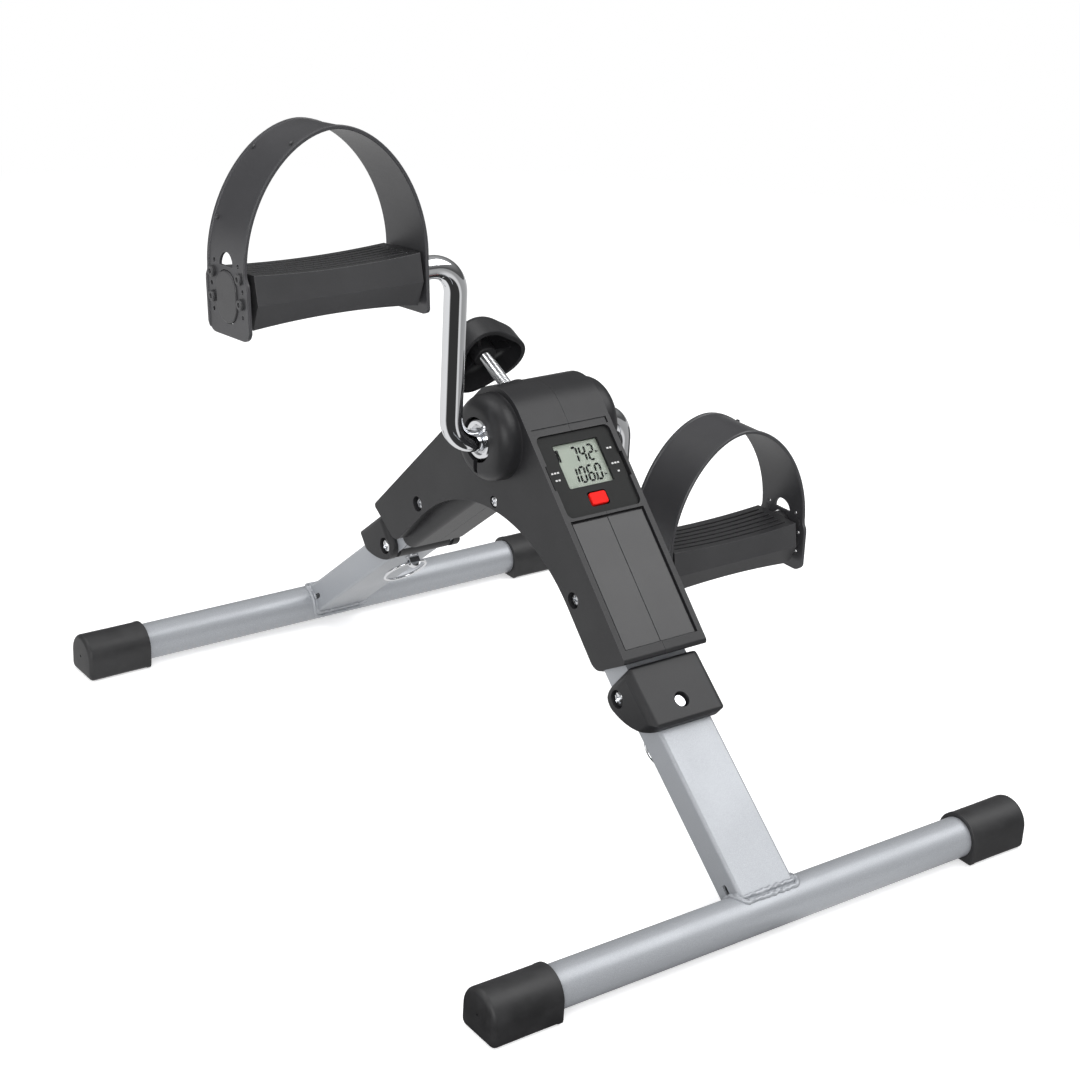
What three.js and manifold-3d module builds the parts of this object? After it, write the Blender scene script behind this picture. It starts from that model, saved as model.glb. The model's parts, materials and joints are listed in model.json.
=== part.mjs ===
// Folding pedal exerciser: two folding legs, a moulded housing round a welded frame,
// a pair of Z-bent cranks with strapped pedals, a friction brake and a display.
//
// Millimetres, +Z up. The origin is on the floor, midway between the two base tubes.
// +X runs along the crank axle. The near side (-Y) carries the display.

import * as THREE from 'three';
import { mergeVertices } from 'three/addons/utils/BufferGeometryUtils.js';
import Module from 'manifold-3d';

const wasm = await Module();
wasm.setup();

// ---------------------------------------------------------------- driving dimensions

const GAP = 0.3; // running clearance between separate pieces
const BEYOND = 60; // cutting bodies reach this far, past every face they cut
const DEG = Math.PI / 180;
const ROOT2 = Math.SQRT2;

// base tubes and their end caps
const BASE_LENGTH = 400;
const BASE_HALF_SPACING = 244;
const BASE_TUBE_R = 12.7;
const TUBE_WALL = 1.5;
const BASE_AXIS_Z = 13.6;
const CAP_LENGTH = 46;
const CAP_R = 15.4;
const CAP_WALL = 2.5;

// legs: rectangular tube from the hinge down to the base tube
const LEG_WIDTH = 40;
const LEG_DEPTH = 20;
const LEG_SLOPE = 39.5 * DEG;
const LEG_REACH = 145.5; // hinge to base tube axis, along the leg
const HINGE_INSET = 3; // hinge bolt below the leg's middle, towards the inside
const LEG_TOP = 5;
const LEG_OUTER = LEG_DEPTH / 2 + HINGE_INSET; // outer face above the hinge
const LEG_INNER = HINGE_INSET - LEG_DEPTH / 2; // inner face below the hinge
const DRAIN_SLOT_AT = 129;

// hinge at the top of each leg
const HINGE_BOLT_R = 4;
const HINGE_HEAD_R = 5;
const HINGE_HEAD_H = 3;
const KNUCKLE_R = 9.3;
const ARM_END = -10; // frame arm stops here, measured along the leg
const CHANNEL_INNER = 20.4; // steel channel, half width inside
const CHANNEL_OUTER = 22.4;
const CHANNEL_ROOF = 13.4; // underside of its roof
const CHANNEL_STEEL = CHANNEL_OUTER - CHANNEL_INNER;
const CHANNEL_TOP = -26;
const PIN_SLOT_END = 24.6;
const COVER_HALF_WIDTH = 27.8;
const COVER_ROOF = 20.5;
const COVER_TOP = -10.5;
const COVER_BOTTOM = 30;
const COVER_CHEEK_R = 9.5;
const COVER_BOLT_HOLE_R = 6.2;

// lock pin and its pull ring
const PIN_AT = 17; // along the leg from the hinge
const PIN_R = 4.2;
const PIN_TIP = 17.2;
const PIN_EYE = -11.5;
const PIN_END = -14;
const LOCK_HOLE_R = 5.5;
const RING_R = 15;
const RING_WIRE_R = 1;
const RING_HANG = 45 * DEG; // from straight down, away from the middle

// crank axle
const AXLE_Z = 227;
const AXLE_R = 9;
const AXLE_HALF = 44;
const BEARING_TUBE_R = 15;
const BEARING_BORE_R = 12.7;
const BEARING_HALF = 20.4;
const BRAKE_DRUM_R = 12;
const BRAKE_DRUM_HALF = 7;
const MAGNET_R = 13.5;
const WASHER_R = 13.6;
const WASHER_IN_X = 28.4;
const WASHER_OUT_X = 30;

// cranks
const CRANK_R = 7;
const CRANK_ARM = 113;
const CRANK_ARM_X = 65;
const CRANK_BEND_R = 18;
const CRANK_TAIL_X = 25; // inner end, inside the hollow axle
const CRANK_BOLT_X = 39.5;
const CROSS_HOLE_R = 3.3;
const CROSS_BOLT_R = 3;
const CROSS_HEAD_R = 4.8;
const SPINDLE_R = 5;
const SPINDLE_SHOULDER_X = 98.5;
const SPINDLE_END_X = 206;

// pedals
const PEDAL_IN_X = 102;
const PEDAL_OUT_X = 208;
const PEDAL_TOP = 14.5;
const PEDAL_HALF = 22.4;
const PEDAL_WAIST = -3.5;
const PEDAL_BOTTOM = -19.5;
const PEDAL_BOTTOM_HALF = 16.5;
const PEDAL_DISH = 1.6;
const PEDAL_ARCH = 4;
const RIB_COUNT = 8;
const RIB_DEPTH = 4;
const RIB_GROOVE_HALF = 1.45;
const RIB_END = 4; // from the end of a groove to the end of the pedal
const STRAP_THICK = 2.4;
const STRAP_HALF_WIDTH = 20.9;
const STRAP_SPRING_Z = 34; // straight sides end here and the round arch begins
const STRAP_FOOT = -24;
const PEDAL_BOSS_R = 11;
const PEDAL_CAP_R = 8.7;
const STRAP_HOLE_Z = 18; // arch-shaped hole above the boss
const STRAP_HOLE_R = 8;
const STRAP_CORNER_R = 6;
const LEFT_PEDAL_TILT = -6 * DEG;
const RIGHT_PEDAL_TILT = -1 * DEG;

// housing
const HOUSING_HALF_WIDTH = 31;
const HOUSING_WALL = 2.5;
const DRUM_R = 31;
const ARCH_R = 115;
const ARCH_CENTRE_Z = 63;
const ARM_CORNER_R = 9;
const BELLY_HALF_WIDTH = 25;
const BELLY_FACE = -10.3; // below the hinge line, parallel to the frame arm
const PANEL_HALF_WIDTH = 26.5;
const PANEL_RECESS = 1.5;
const PANEL_TOP_T = 75;
const PANEL_END_T = 157;
const BOSS_R = 27;
const BOSS_FACE_X = 46;
const BOSS_FILLET = 8;
const BOSS_BORE_R = 14.5;
const NOTCH_HALF = 2; // small notch in the boss, below the axle
const NOTCH_START = 12;
const NOTCH_END = 22;
const NOTCH_DEPTH = 1.5;

// display
const MONITOR_HALF = 27.2;
const MONITOR_TOP_T = 17.8;
const MONITOR_LENGTH = 54.2;
const MONITOR_FACE_H = 29.3;
const MONITOR_DEPTH = 10;
const MONITOR_WALL = 2.5;
const MONITOR_FRONT = 2.3; // thickness of its front wall
const MONITOR_CORNER_R = 3.8;
const MONITOR_EAR = 2;
const MONITOR_EAR_HALF = 7;
const POCKET_FLOOR_H = 17;
const WINDOW_HALF = 16.8;
const WINDOW_TOP_T = 24.1;
const WINDOW_END_T = 53.4;
const BUTTON_HALF_X = 6.1;
const BUTTON_TOP_T = 58.5;
const BUTTON_END_T = 66.5;
const BUTTON_PROUD = 1;
const BUTTON_FOOT_H = 24.8;
const CABLE_HOLE_X = 10;
const CABLE_HOLE_T = 32;

// tension knob and brake
const TENSION_SLOPE = 25 * DEG;
const SCREW_R = 4;
const SHOE_HALF = 6.5;
const SHOE_FRONT = 12;
const SHOE_BACK = 22.5;
const BRAKE_TRAVEL = 3.75;
const GUIDE_END = 26;
const GUIDE_WALL = 2.2;
const KNOB_FACE = 62;
const KNOB_DEPTH = 19;
const KNOB_R = 22.5;
const KNOB_LOBE = 4.5;
const KNOB_WALL = 3;
const KNOB_HUB_R = 8;

// housing screws
const ARM_SCREW_Y = 86;
const ARM_SCREW_Z = 151;
const ARCH_SCREW_Z = 183.5;
const ARM_POST_R = 7;
const ARM_SCREW_R = 1.9;
const ARM_SCREW_LENGTH = 11;
const ARM_SCREW_HOLE_R = 2.2;
const ARM_SCREW_SEAT_X = 27; // floor of the round recess its head sits in
const ARM_RECESS_R = 5.2;
const ARCH_POST_R = 5;
const ARCH_SCREW_R = 1.8;
const ARCH_SCREW_LENGTH = 50;
const ARCH_SCREW_HOLE_R = 2.1;
const ARCH_SCREW_SEAT_X = -29.1;
const ARCH_RECESS_R = 3.7;

// ---------------------------------------------------------------- materials

const finish = (name, color, roughness, metalness) =>
  new THREE.MeshStandardMaterial({ name, color, roughness, metalness });

const SILVER_PAINT = () => finish('silver_paint', 0xa3a6ab, 0.42, 0.65);
const CHROME = () => finish('chrome', 0xdfe2e6, 0.08, 1.0);
const STEEL = () => finish('zinc_steel', 0xb9bcc0, 0.35, 0.9);
const SHELL_PLASTIC = () => finish('shell_plastic', 0x2b2b2d, 0.55, 0.0);
const HINGE_PLASTIC = () => finish('hinge_plastic', 0x252526, 0.6, 0.0);
const PEDAL_PLASTIC = () => finish('pedal_plastic', 0x222224, 0.5, 0.0);
const RUBBER = () => finish('rubber', 0x1b1b1c, 0.8, 0.0);
const NYLON = () => finish('nylon', 0xe6e2d6, 0.5, 0.0);
const LCD = () => finish('lcd', 0xa9b3a3, 0.25, 0.0);
const RED = () => finish('button_red', 0xd3251c, 0.4, 0.0);

// ---------------------------------------------------------------- solids: join and cut

function toSolid(geometry) {
  const bare = geometry.clone();
  for (const name of Object.keys(bare.attributes)) {
    if (name !== 'position') bare.deleteAttribute(name);
  }
  const merged = mergeVertices(bare, 1e-4);
  return new wasm.Manifold(new wasm.Mesh({
    numProp: 3,
    vertProperties: new Float32Array(merged.attributes.position.array),
    triVerts: new Uint32Array(merged.index.array),
  }));
}

function toGeometry(solid) {
  const mesh = solid.getMesh();
  const geometry = new THREE.BufferGeometry();
  geometry.setAttribute('position', new THREE.BufferAttribute(mesh.vertProperties, 3));
  geometry.setIndex(new THREE.BufferAttribute(mesh.triVerts, 1));
  geometry.computeVertexNormals();
  return geometry;
}

const join = (...parts) => toGeometry(parts.map(toSolid).reduce((sum, part) => sum.add(part)));
const cut = (body, ...tools) =>
  toGeometry(tools.map(toSolid).reduce((rest, tool) => rest.subtract(tool), toSolid(body)));
const common = (a, b) => toGeometry(toSolid(a).intersect(toSolid(b)));

// ---------------------------------------------------------------- shapes

const box = (x0, x1, y0, y1, z0, z1) =>
  new THREE.BoxGeometry(x1 - x0, y1 - y0, z1 - z0)
    .translate((x0 + x1) / 2, (y0 + y1) / 2, (z0 + z1) / 2);

// cylinder along X between x0 and x1
const rodX = (r, x0, x1, y = 0, z = 0, sides = 18) =>
  new THREE.CylinderGeometry(r, r, Math.abs(x1 - x0), sides)
    .rotateZ(Math.PI / 2)
    .translate((x0 + x1) / 2, y, z);

// cylinder along Z between z0 and z1
const rodZ = (r, z0, z1, x = 0, y = 0, sides = 16) =>
  new THREE.CylinderGeometry(r, r, Math.abs(z1 - z0), sides)
    .rotateX(Math.PI / 2)
    .translate(x, y, (z0 + z1) / 2);

// ring along X
const ringX = (outer, inner, x0, x1, y = 0, z = 0) =>
  cut(rodX(outer, x0, x1, y, z), rodX(inner, x0 - 1, x1 + 1, y, z));

// outline points given as [y, z], carried along X, with an optional edge chamfer
const TURN_TO_X = new THREE.Matrix4().makeBasis(
  new THREE.Vector3(0, 1, 0),
  new THREE.Vector3(0, 0, 1),
  new THREE.Vector3(1, 0, 0),
);
function prismX(shape, x0, x1, chamfer = 0) {
  const geometry = new THREE.ExtrudeGeometry(shape, {
    depth: x1 - x0 - 2 * chamfer,
    curveSegments: 6,
    bevelEnabled: chamfer > 0,
    bevelThickness: chamfer,
    bevelSize: chamfer,
    bevelOffset: -chamfer,
    bevelSegments: 1,
  });
  return geometry.applyMatrix4(TURN_TO_X).translate(x0 + chamfer, 0, 0);
}

const polygon = (points) => new THREE.Shape(points.map(([a, b]) => new THREE.Vector2(a, b)));

// body of revolution about X, from [x, radius] points that start and end on the axis
const turnedX = (points, sides = 18) =>
  new THREE.LatheGeometry(points.map(([x, r]) => new THREE.Vector2(r, x)), sides)
    .rotateZ(-Math.PI / 2);

function roundedRect(halfX, halfY, radius) {
  const shape = new THREE.Shape();
  shape.absarc(halfX - radius, halfY - radius, radius, 0, Math.PI / 2);
  shape.absarc(radius - halfX, halfY - radius, radius, Math.PI / 2, Math.PI);
  shape.absarc(radius - halfX, radius - halfY, radius, Math.PI, 1.5 * Math.PI);
  shape.absarc(halfX - radius, radius - halfY, radius, 1.5 * Math.PI, 2 * Math.PI);
  return shape;
}

// Path with cross sections only at its ends and round its bends.
class BentPath extends THREE.Curve {
  constructor(corners, bendRadius, stepsPerBend) {
    super();
    const points = corners.map((corner) => new THREE.Vector3(...corner));
    const ways = points.slice(1).map((point, i) => point.clone().sub(points[i]).normalize());
    this.stations = [{ point: points[0], tangent: ways[0] }];
    for (let i = 1; i < points.length - 1; i += 1) {
      this.addBend(points[i], ways[i - 1], ways[i], bendRadius, stepsPerBend);
    }
    this.stations.push({ point: points.at(-1), tangent: ways.at(-1) });
  }

  addBend(corner, before, after, radius, steps) {
    const turn = before.angleTo(after);
    const start = corner.clone().addScaledVector(before, -radius * Math.tan(turn / 2));
    const inward = after.clone().addScaledVector(before, -before.dot(after)).normalize();
    for (let k = 0; k <= steps; k += 1) {
      const angle = (k / steps) * turn;
      const point = start.clone().addScaledVector(before, radius * Math.sin(angle))
        .addScaledVector(inward, radius * (1 - Math.cos(angle)));
      const tangent = before.clone().multiplyScalar(Math.cos(angle))
        .addScaledVector(inward, Math.sin(angle));
      this.stations.push({ point, tangent });
    }
  }

  station(u) {
    return this.stations[Math.round(u * (this.stations.length - 1))];
  }

  getPointAt(u) {
    return this.station(u).point.clone();
  }

  getTangentAt(u) {
    return this.station(u).tangent.clone();
  }
}

// round section carried along a curve
function sweptRod(radius, path, steps, sides) {
  const section = [];
  for (let i = 0; i < sides; i += 1) {
    const turn = (i / sides) * 2 * Math.PI;
    section.push([radius * Math.cos(turn), radius * Math.sin(turn)]);
  }
  return new THREE.ExtrudeGeometry(polygon(section), { steps, extrudePath: path });
}

function bentRod(radius, corners, bendRadius, sides) {
  const path = new BentPath(corners, bendRadius, 5);
  return sweptRod(radius, path, path.stations.length - 1, sides);
}

// ---------------------------------------------------------------- frames of reference

// Leg frame: origin on the hinge, Y down the leg, Z out through its outer face.
const HINGE_Y = BASE_HALF_SPACING - LEG_REACH * Math.cos(LEG_SLOPE)
  - HINGE_INSET * Math.sin(LEG_SLOPE);
const HINGE_Z = BASE_AXIS_Z + LEG_REACH * Math.sin(LEG_SLOPE)
  - HINGE_INSET * Math.cos(LEG_SLOPE);
const HALF_TURN = new THREE.Matrix4().makeRotationZ(Math.PI);
const FAR_LEG = new THREE.Matrix4().makeRotationX(-LEG_SLOPE).setPosition(0, HINGE_Y, HINGE_Z);
const NEAR_LEG = HALF_TURN.clone().multiply(FAR_LEG);

// Panel frame: origin on the axle, Y down the near slope of the housing, Z out of it.
const PANEL = new THREE.Matrix4().makeBasis(
  new THREE.Vector3(-1, 0, 0),
  new THREE.Vector3(0, -1, -1).normalize(),
  new THREE.Vector3(0, -1, 1).normalize(),
).setPosition(0, 0, AXLE_Z);
const FAR_PANEL = new THREE.Matrix4().makeTranslation(0, 0, AXLE_Z)
  .multiply(HALF_TURN)
  .multiply(new THREE.Matrix4().makeTranslation(0, 0, -AXLE_Z))
  .multiply(PANEL);

// Tension frame: origin on the axle, Z along the tension screw, out of the housing's back.
const TENSION = new THREE.Matrix4().makeRotationX(TENSION_SLOPE - Math.PI / 2)
  .setPosition(0, 0, AXLE_Z);

const placed = (geometry, matrix) => geometry.clone().applyMatrix4(matrix);
const atAxle = (geometry) => geometry.translate(0, 0, AXLE_Z);

function framed(matrix) {
  const group = new THREE.Group();
  group.applyMatrix4(matrix);
  return group;
}

const model = new THREE.Group();
const nearLeg = framed(NEAR_LEG);
const farLeg = framed(FAR_LEG);
const panel = framed(PANEL);
const tension = framed(TENSION);
const axle = framed(new THREE.Matrix4().makeTranslation(0, 0, AXLE_Z));
model.add(nearLeg, farLeg, panel, tension, axle);

function add(parent, name, geometry, material) {
  const mesh = new THREE.Mesh(geometry, material());
  mesh.name = name;
  parent.add(mesh);
}

// ---------------------------------------------------------------- welded frame

// One arm of the inverted V, in the leg frame.
function armBox(inset, end) {
  const half = LEG_WIDTH / 2 - inset;
  return box(-half, half, -200, end, LEG_INNER + inset, LEG_OUTER - inset);
}

// Keeps the part of an arm on its own side of the middle.
const farHalf = box(-BEYOND, BEYOND, 0, 200, 0, 300);

// Steel channel that carries the hinge bolt and stops the leg at its spread position.
function hingeChannel() {
  const cheek = polygon([
    [CHANNEL_TOP, LEG_INNER + 1], [-3, LEG_INNER], [3, LEG_INNER], [9, -2], [22, 7],
    [25, CHANNEL_ROOF + CHANNEL_STEEL], [CHANNEL_TOP, CHANNEL_ROOF + CHANNEL_STEEL],
  ]);
  const shell = cut(
    prismX(cheek, -CHANNEL_OUTER, CHANNEL_OUTER),
    box(-CHANNEL_INNER, CHANNEL_INNER, -BEYOND, BEYOND, -BEYOND, CHANNEL_ROOF),
    rodX(HINGE_BOLT_R + GAP, -BEYOND, BEYOND, 0, 0, 24),
    pinSlot(),
  );
  const weldDepth = CHANNEL_ROOF + GAP;
  const sideWeld = CHANNEL_INNER + GAP;
  return join(
    shell,
    box(-15, 15, CHANNEL_TOP, ARM_END - 1, LEG_OUTER - 0.5, weldDepth),
    box(-sideWeld, -19.5, CHANNEL_TOP, ARM_END - 1, -3, 9),
    box(19.5, sideWeld, CHANNEL_TOP, ARM_END - 1, -3, 9),
  );
}

// The pin's hole in the channel roof is longer towards the foot than the pin needs.
function pinSlot() {
  const half = PIN_R + 0.5;
  return join(
    rodZ(half, 10, 18, 0, PIN_AT, 20),
    box(-half, half, PIN_AT, PIN_SLOT_END, 10, 18),
  );
}

// Square guide on the back of the bearing tube. It holds the brake shoe.
function brakeGuide() {
  const outer = SHOE_HALF + GAP + GUIDE_WALL;
  return box(-outer, outer, -outer, outer, 10, GUIDE_END);
}

function brakeWindow() {
  const bore = SHOE_HALF + GAP;
  return join(
    box(-bore, bore, -bore, bore, 5, GUIDE_END - 2.5),
    rodZ(SCREW_R + GAP, 5, GUIDE_END + 5),
  );
}

function frameTube() {
  const farArm = common(placed(armBox(0, ARM_END), FAR_LEG), farHalf);
  const farHollow = common(placed(armBox(TUBE_WALL, ARM_END + 1), FAR_LEG), farHalf);
  const arms = cut(
    join(farArm, placed(farArm, HALF_TURN)),
    join(farHollow, placed(farHollow, HALF_TURN)),
  );
  const bearing = atAxle(rodX(BEARING_TUBE_R, -BEARING_HALF, BEARING_HALF));
  const solid = join(
    arms,
    bearing,
    placed(brakeGuide(), TENSION),
    placed(hingeChannel(), FAR_LEG),
    placed(hingeChannel(), NEAR_LEG),
  );
  const screwHoles = [-1, 1].map((side) => rodX(
    ARM_SCREW_HOLE_R, -LEG_WIDTH, LEG_WIDTH, side * ARM_SCREW_Y, ARM_SCREW_Z, 16,
  ));
  return cut(
    solid,
    atAxle(rodX(BEARING_BORE_R, -BEYOND, BEYOND)),
    placed(brakeWindow(), TENSION),
    ...screwHoles,
  );
}

add(model, 'frame_tube', frameTube(), SILVER_PAINT);

// ---------------------------------------------------------------- housing shells

// Side view of the housing, every face moved inwards by `inset`. The arms end on a
// square cut; `openEnd` carries the outline past it, which leaves the arm ends open.
function housingOutline(inset, openEnd) {
  const drum = DRUM_R - inset;
  const arch = ARCH_R + inset;
  const outerSum = AXLE_Z + drum * ROOT2;
  const innerSum = ARCH_CENTRE_Z + arch * ROOT2;
  const corner = openEnd > 0 ? 0.01 : ARM_CORNER_R;
  const endY = (sum) => (sum + openEnd * ROOT2) / 2;
  const endZ = (sum) => (sum - openEnd * ROOT2) / 2;
  const shape = new THREE.Shape();
  shape.absarc(0, AXLE_Z, drum, 45 * DEG, 135 * DEG);
  shape.lineTo(-endY(outerSum), endZ(outerSum));
  armCorner(shape, innerSum, corner, endY, endZ, -1);
  shape.absarc(0, ARCH_CENTRE_Z, arch, 135 * DEG, 45 * DEG, true);
  armCorner(shape, innerSum, corner, endY, endZ, 1);
  shape.lineTo(endY(outerSum), endZ(outerSum));
  return shape;
}

// Rounded lower corner of an arm's end.
function armCorner(shape, innerSum, radius, endY, endZ, side) {
  const y = endY(innerSum);
  const z = endZ(innerSum) + radius * ROOT2;
  shape.absarc(side * y, z, radius, 225 * DEG, 315 * DEG);
}

// Lower side of an arm: it follows the frame arm and hangs below the side walls.
function bellyOutline(face, end) {
  const corner = (y, z) => {
    const point = new THREE.Vector3(0, y, z).applyMatrix4(FAR_LEG);
    return [point.y, point.z];
  };
  return polygon([
    corner(end, face), corner(end + 8, face + 8), corner(end + 8, 5), corner(-140, 5),
    corner(-140, face),
  ]);
}

function farBelly(halfWidth, face, end, chamfer) {
  return prismX(bellyOutline(face, end), -halfWidth, halfWidth, chamfer);
}

function bothEnds(geometry) {
  return join(geometry, placed(geometry, HALF_TURN));
}

// Round boss over the end of the axle.
function axleBoss() {
  const points = [[20, 0], [20, BOSS_R], [BOSS_FACE_X - BOSS_FILLET, BOSS_R]];
  for (let i = 1; i <= 4; i += 1) {
    const turn = (i / 4) * (Math.PI / 2);
    points.push([
      BOSS_FACE_X - BOSS_FILLET + BOSS_FILLET * Math.sin(turn),
      BOSS_R - BOSS_FILLET + BOSS_FILLET * Math.cos(turn),
    ]);
  }
  points.push([BOSS_FACE_X, 0]);
  return atAxle(turnedX(points));
}

function bossHollow() {
  const inner = BOSS_R - HOUSING_WALL;
  const face = BOSS_FACE_X - 3;
  return atAxle(turnedX([[15, 0], [15, inner], [face - 6, inner], [face, inner - 6], [face, 0]]));
}

// Pocket the display drops into, in the panel frame.
function monitorPocket(grow) {
  const half = MONITOR_HALF + grow;
  const top = MONITOR_TOP_T - grow;
  const end = MONITOR_TOP_T + MONITOR_LENGTH + grow;
  const earHalf = MONITOR_HALF + MONITOR_EAR + grow;
  const middle = MONITOR_TOP_T + MONITOR_LENGTH / 2;
  const earSpan = MONITOR_EAR_HALF + 1 + grow;
  return join(
    box(-half, half, top, end, POCKET_FLOOR_H - (grow > 1 ? HOUSING_WALL : 0), 60),
    box(-earHalf, earHalf, middle - earSpan, middle + earSpan, 19, 60),
  );
}

function housingBody() {
  const outer = join(
    prismX(housingOutline(0, 0), -HOUSING_HALF_WIDTH, HOUSING_HALF_WIDTH, 1),
    bothEnds(farBelly(BELLY_HALF_WIDTH, BELLY_FACE, -19.4, 2)),
    axleBoss(),
    placed(axleBoss(), HALF_TURN),
    placed(rodZ(10, 20, 35), TENSION),
  );
  const sideInner = HOUSING_HALF_WIDTH - HOUSING_WALL;
  const hollow = cut(
    join(
      prismX(housingOutline(HOUSING_WALL, 12), -sideInner, sideInner),
      bothEnds(farBelly(BELLY_HALF_WIDTH - HOUSING_WALL, BELLY_FACE + HOUSING_WALL, -8, 0)),
      bossHollow(),
      placed(bossHollow(), HALF_TURN),
    ),
    common(placed(monitorPocket(1.8), PANEL), prismX(housingOutline(1, 0), -30, 30)),
  );
  const screwPosts = [];
  const postEnd = HOUSING_HALF_WIDTH - 1;
  for (const side of [-1, 1]) {
    for (const end of [-1, 1]) {
      const y = end * ARM_SCREW_Y;
      const foot = side * (LEG_WIDTH / 2 + 0.5);
      screwPosts.push(rodX(ARM_POST_R, foot, side * postEnd, y, ARM_SCREW_Z, 24));
    }
    screwPosts.push(rodX(ARCH_POST_R, 0, side * postEnd, 0, ARCH_SCREW_Z, 20));
  }
  return join(cut(outer, hollow), ...screwPosts);
}

function housingCuts() {
  const cuts = [
    atAxle(rodX(BOSS_BORE_R, -BEYOND, BEYOND, 0, 0, 28)),
    placed(monitorPocket(GAP), PANEL),
    placed(rodZ(4, 5, 30, CABLE_HOLE_X, CABLE_HOLE_T, 16), PANEL),
    placed(rodZ(SCREW_R + 1.5, 15, BEYOND), TENSION),
    rodX(ARCH_SCREW_HOLE_R, -BEYOND, 24, 0, ARCH_SCREW_Z, 16),
    rodX(ARCH_RECESS_R, -BEYOND, ARCH_SCREW_SEAT_X + 0.1, 0, ARCH_SCREW_Z, 16),
  ];
  const recess = box(
    -PANEL_HALF_WIDTH, PANEL_HALF_WIDTH, PANEL_TOP_T, PANEL_END_T, DRUM_R - PANEL_RECESS, 60,
  );
  cuts.push(placed(recess, PANEL), placed(recess, FAR_PANEL));
  for (const side of [-1, 1]) {
    const notch = side * (BOSS_FACE_X - NOTCH_DEPTH);
    cuts.push(atAxle(box(
      notch - 2.5, notch + 2.5, -NOTCH_HALF, NOTCH_HALF, -NOTCH_END, -NOTCH_START,
    )));
    for (const end of [-1, 1]) {
      const y = end * ARM_SCREW_Y;
      cuts.push(rodX(ARM_SCREW_HOLE_R, side * 10, side * 40, y, ARM_SCREW_Z, 16));
      cuts.push(rodX(ARM_RECESS_R, side * ARM_SCREW_SEAT_X, side * 40, y, ARM_SCREW_Z, 24));
    }
  }
  return cuts;
}

const housing = cut(housingBody(), ...housingCuts());
const seam = GAP / 2;
add(model, 'left_shell', common(housing, box(-BEYOND, -seam, -200, 200, 60, 300)), SHELL_PLASTIC);
add(model, 'right_shell', common(housing, box(seam, BEYOND, -200, 200, 60, 300)), SHELL_PLASTIC);

// ---------------------------------------------------------------- housing screws

// Pan-head screw along X. The head's underside is at `seat`; `way` points to the head.
function screwX(seat, way, headR, headH, shankR, length) {
  const points = [
    [-length, 0], [-length, shankR], [0, shankR], [0, headR], [headH * 0.5, headR],
    [headH, headR * 0.7], [headH, 0],
  ];
  const geometry = turnedX(points, 14);
  if (way < 0) geometry.rotateZ(Math.PI);
  return geometry.translate(seat, 0, 0);
}

function addArmScrew(name, side, end) {
  const seat = side * (ARM_SCREW_SEAT_X + 0.1);
  const geometry = screwX(seat, side, 4, 2.4, ARM_SCREW_R, ARM_SCREW_LENGTH);
  add(model, name, geometry.translate(0, end * ARM_SCREW_Y, ARM_SCREW_Z), STEEL);
}

addArmScrew('near_left_screw', -1, -1);
addArmScrew('near_right_screw', 1, -1);
addArmScrew('far_left_screw', -1, 1);
addArmScrew('far_right_screw', 1, 1);
add(
  model,
  'arch_screw',
  screwX(ARCH_SCREW_SEAT_X, -1, 3.4, 2, ARCH_SCREW_R, ARCH_SCREW_LENGTH)
    .translate(0, 0, ARCH_SCREW_Z),
  STEEL,
);

// ---------------------------------------------------------------- hinge covers

// Side view of the plastic cover: roof over the channel, cheeks rounded at the bolt.
function coverOutline() {
  const shape = new THREE.Shape();
  shape.moveTo(COVER_TOP, COVER_ROOF);
  shape.lineTo(COVER_TOP, 6);
  shape.absarc(0, 0, COVER_CHEEK_R, 185 * DEG, 300 * DEG);
  shape.quadraticCurveTo(22, 0, 28, 14);
  shape.quadraticCurveTo(COVER_BOTTOM, 18, COVER_BOTTOM, COVER_ROOF);
  return shape;
}

// The cover's cross section, with its roof rounded into the cheeks.
function coverSection() {
  const section = roundedRect(COVER_HALF_WIDTH, 25, 4);
  return new THREE.ExtrudeGeometry(section, {
    depth: 60, bevelEnabled: false, curveSegments: 2,
  }).rotateX(Math.PI / 2).translate(0, 40, COVER_ROOF - 25);
}

function hingeCover() {
  const inner = CHANNEL_OUTER + GAP;
  return cut(
    common(prismX(coverOutline(), -COVER_HALF_WIDTH, COVER_HALF_WIDTH), coverSection()),
    box(-inner, inner, -BEYOND, BEYOND, -BEYOND, CHANNEL_ROOF + CHANNEL_STEEL + GAP),
    rodX(COVER_BOLT_HOLE_R, -BEYOND, BEYOND, 0, 0, 28),
    rodZ(LOCK_HOLE_R, 10, 30, 0, PIN_AT, 28),
  );
}

function hingeBolt(headSide) {
  const head = CHANNEL_OUTER + GAP;
  const points = [
    [-head - 4.4, 0], [-head - 4.4, HINGE_BOLT_R], [head, HINGE_BOLT_R],
    [head, HINGE_HEAD_R], [head + HINGE_HEAD_H * 0.4, HINGE_HEAD_R],
    [head + HINGE_HEAD_H, HINGE_HEAD_R * 0.65], [head + HINGE_HEAD_H, 0],
  ];
  const geometry = turnedX(points, 16);
  return headSide < 0 ? geometry.rotateZ(Math.PI) : geometry;
}

function hexNut(flat, boreR, x0, x1) {
  return cut(rodX(flat / Math.sqrt(3), x0, x1, 0, 0, 6), rodX(boreR, x0 - 1, x1 + 1, 0, 0, 20));
}

// `headSide` is the side of the bolt head in the leg's own frame.
function addHinge(parent, end, headSide) {
  const inner = CHANNEL_OUTER + GAP;
  const nut = hexNut(10, HINGE_BOLT_R + GAP, inner, inner + 3.6);
  if (headSide > 0) nut.rotateZ(Math.PI);
  add(parent, `${end}_hinge_cover`, hingeCover(), HINGE_PLASTIC);
  add(parent, `${end}_hinge_bolt`, hingeBolt(headSide), CHROME);
  add(parent, `${end}_hinge_nut`, nut, STEEL);
}

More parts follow.
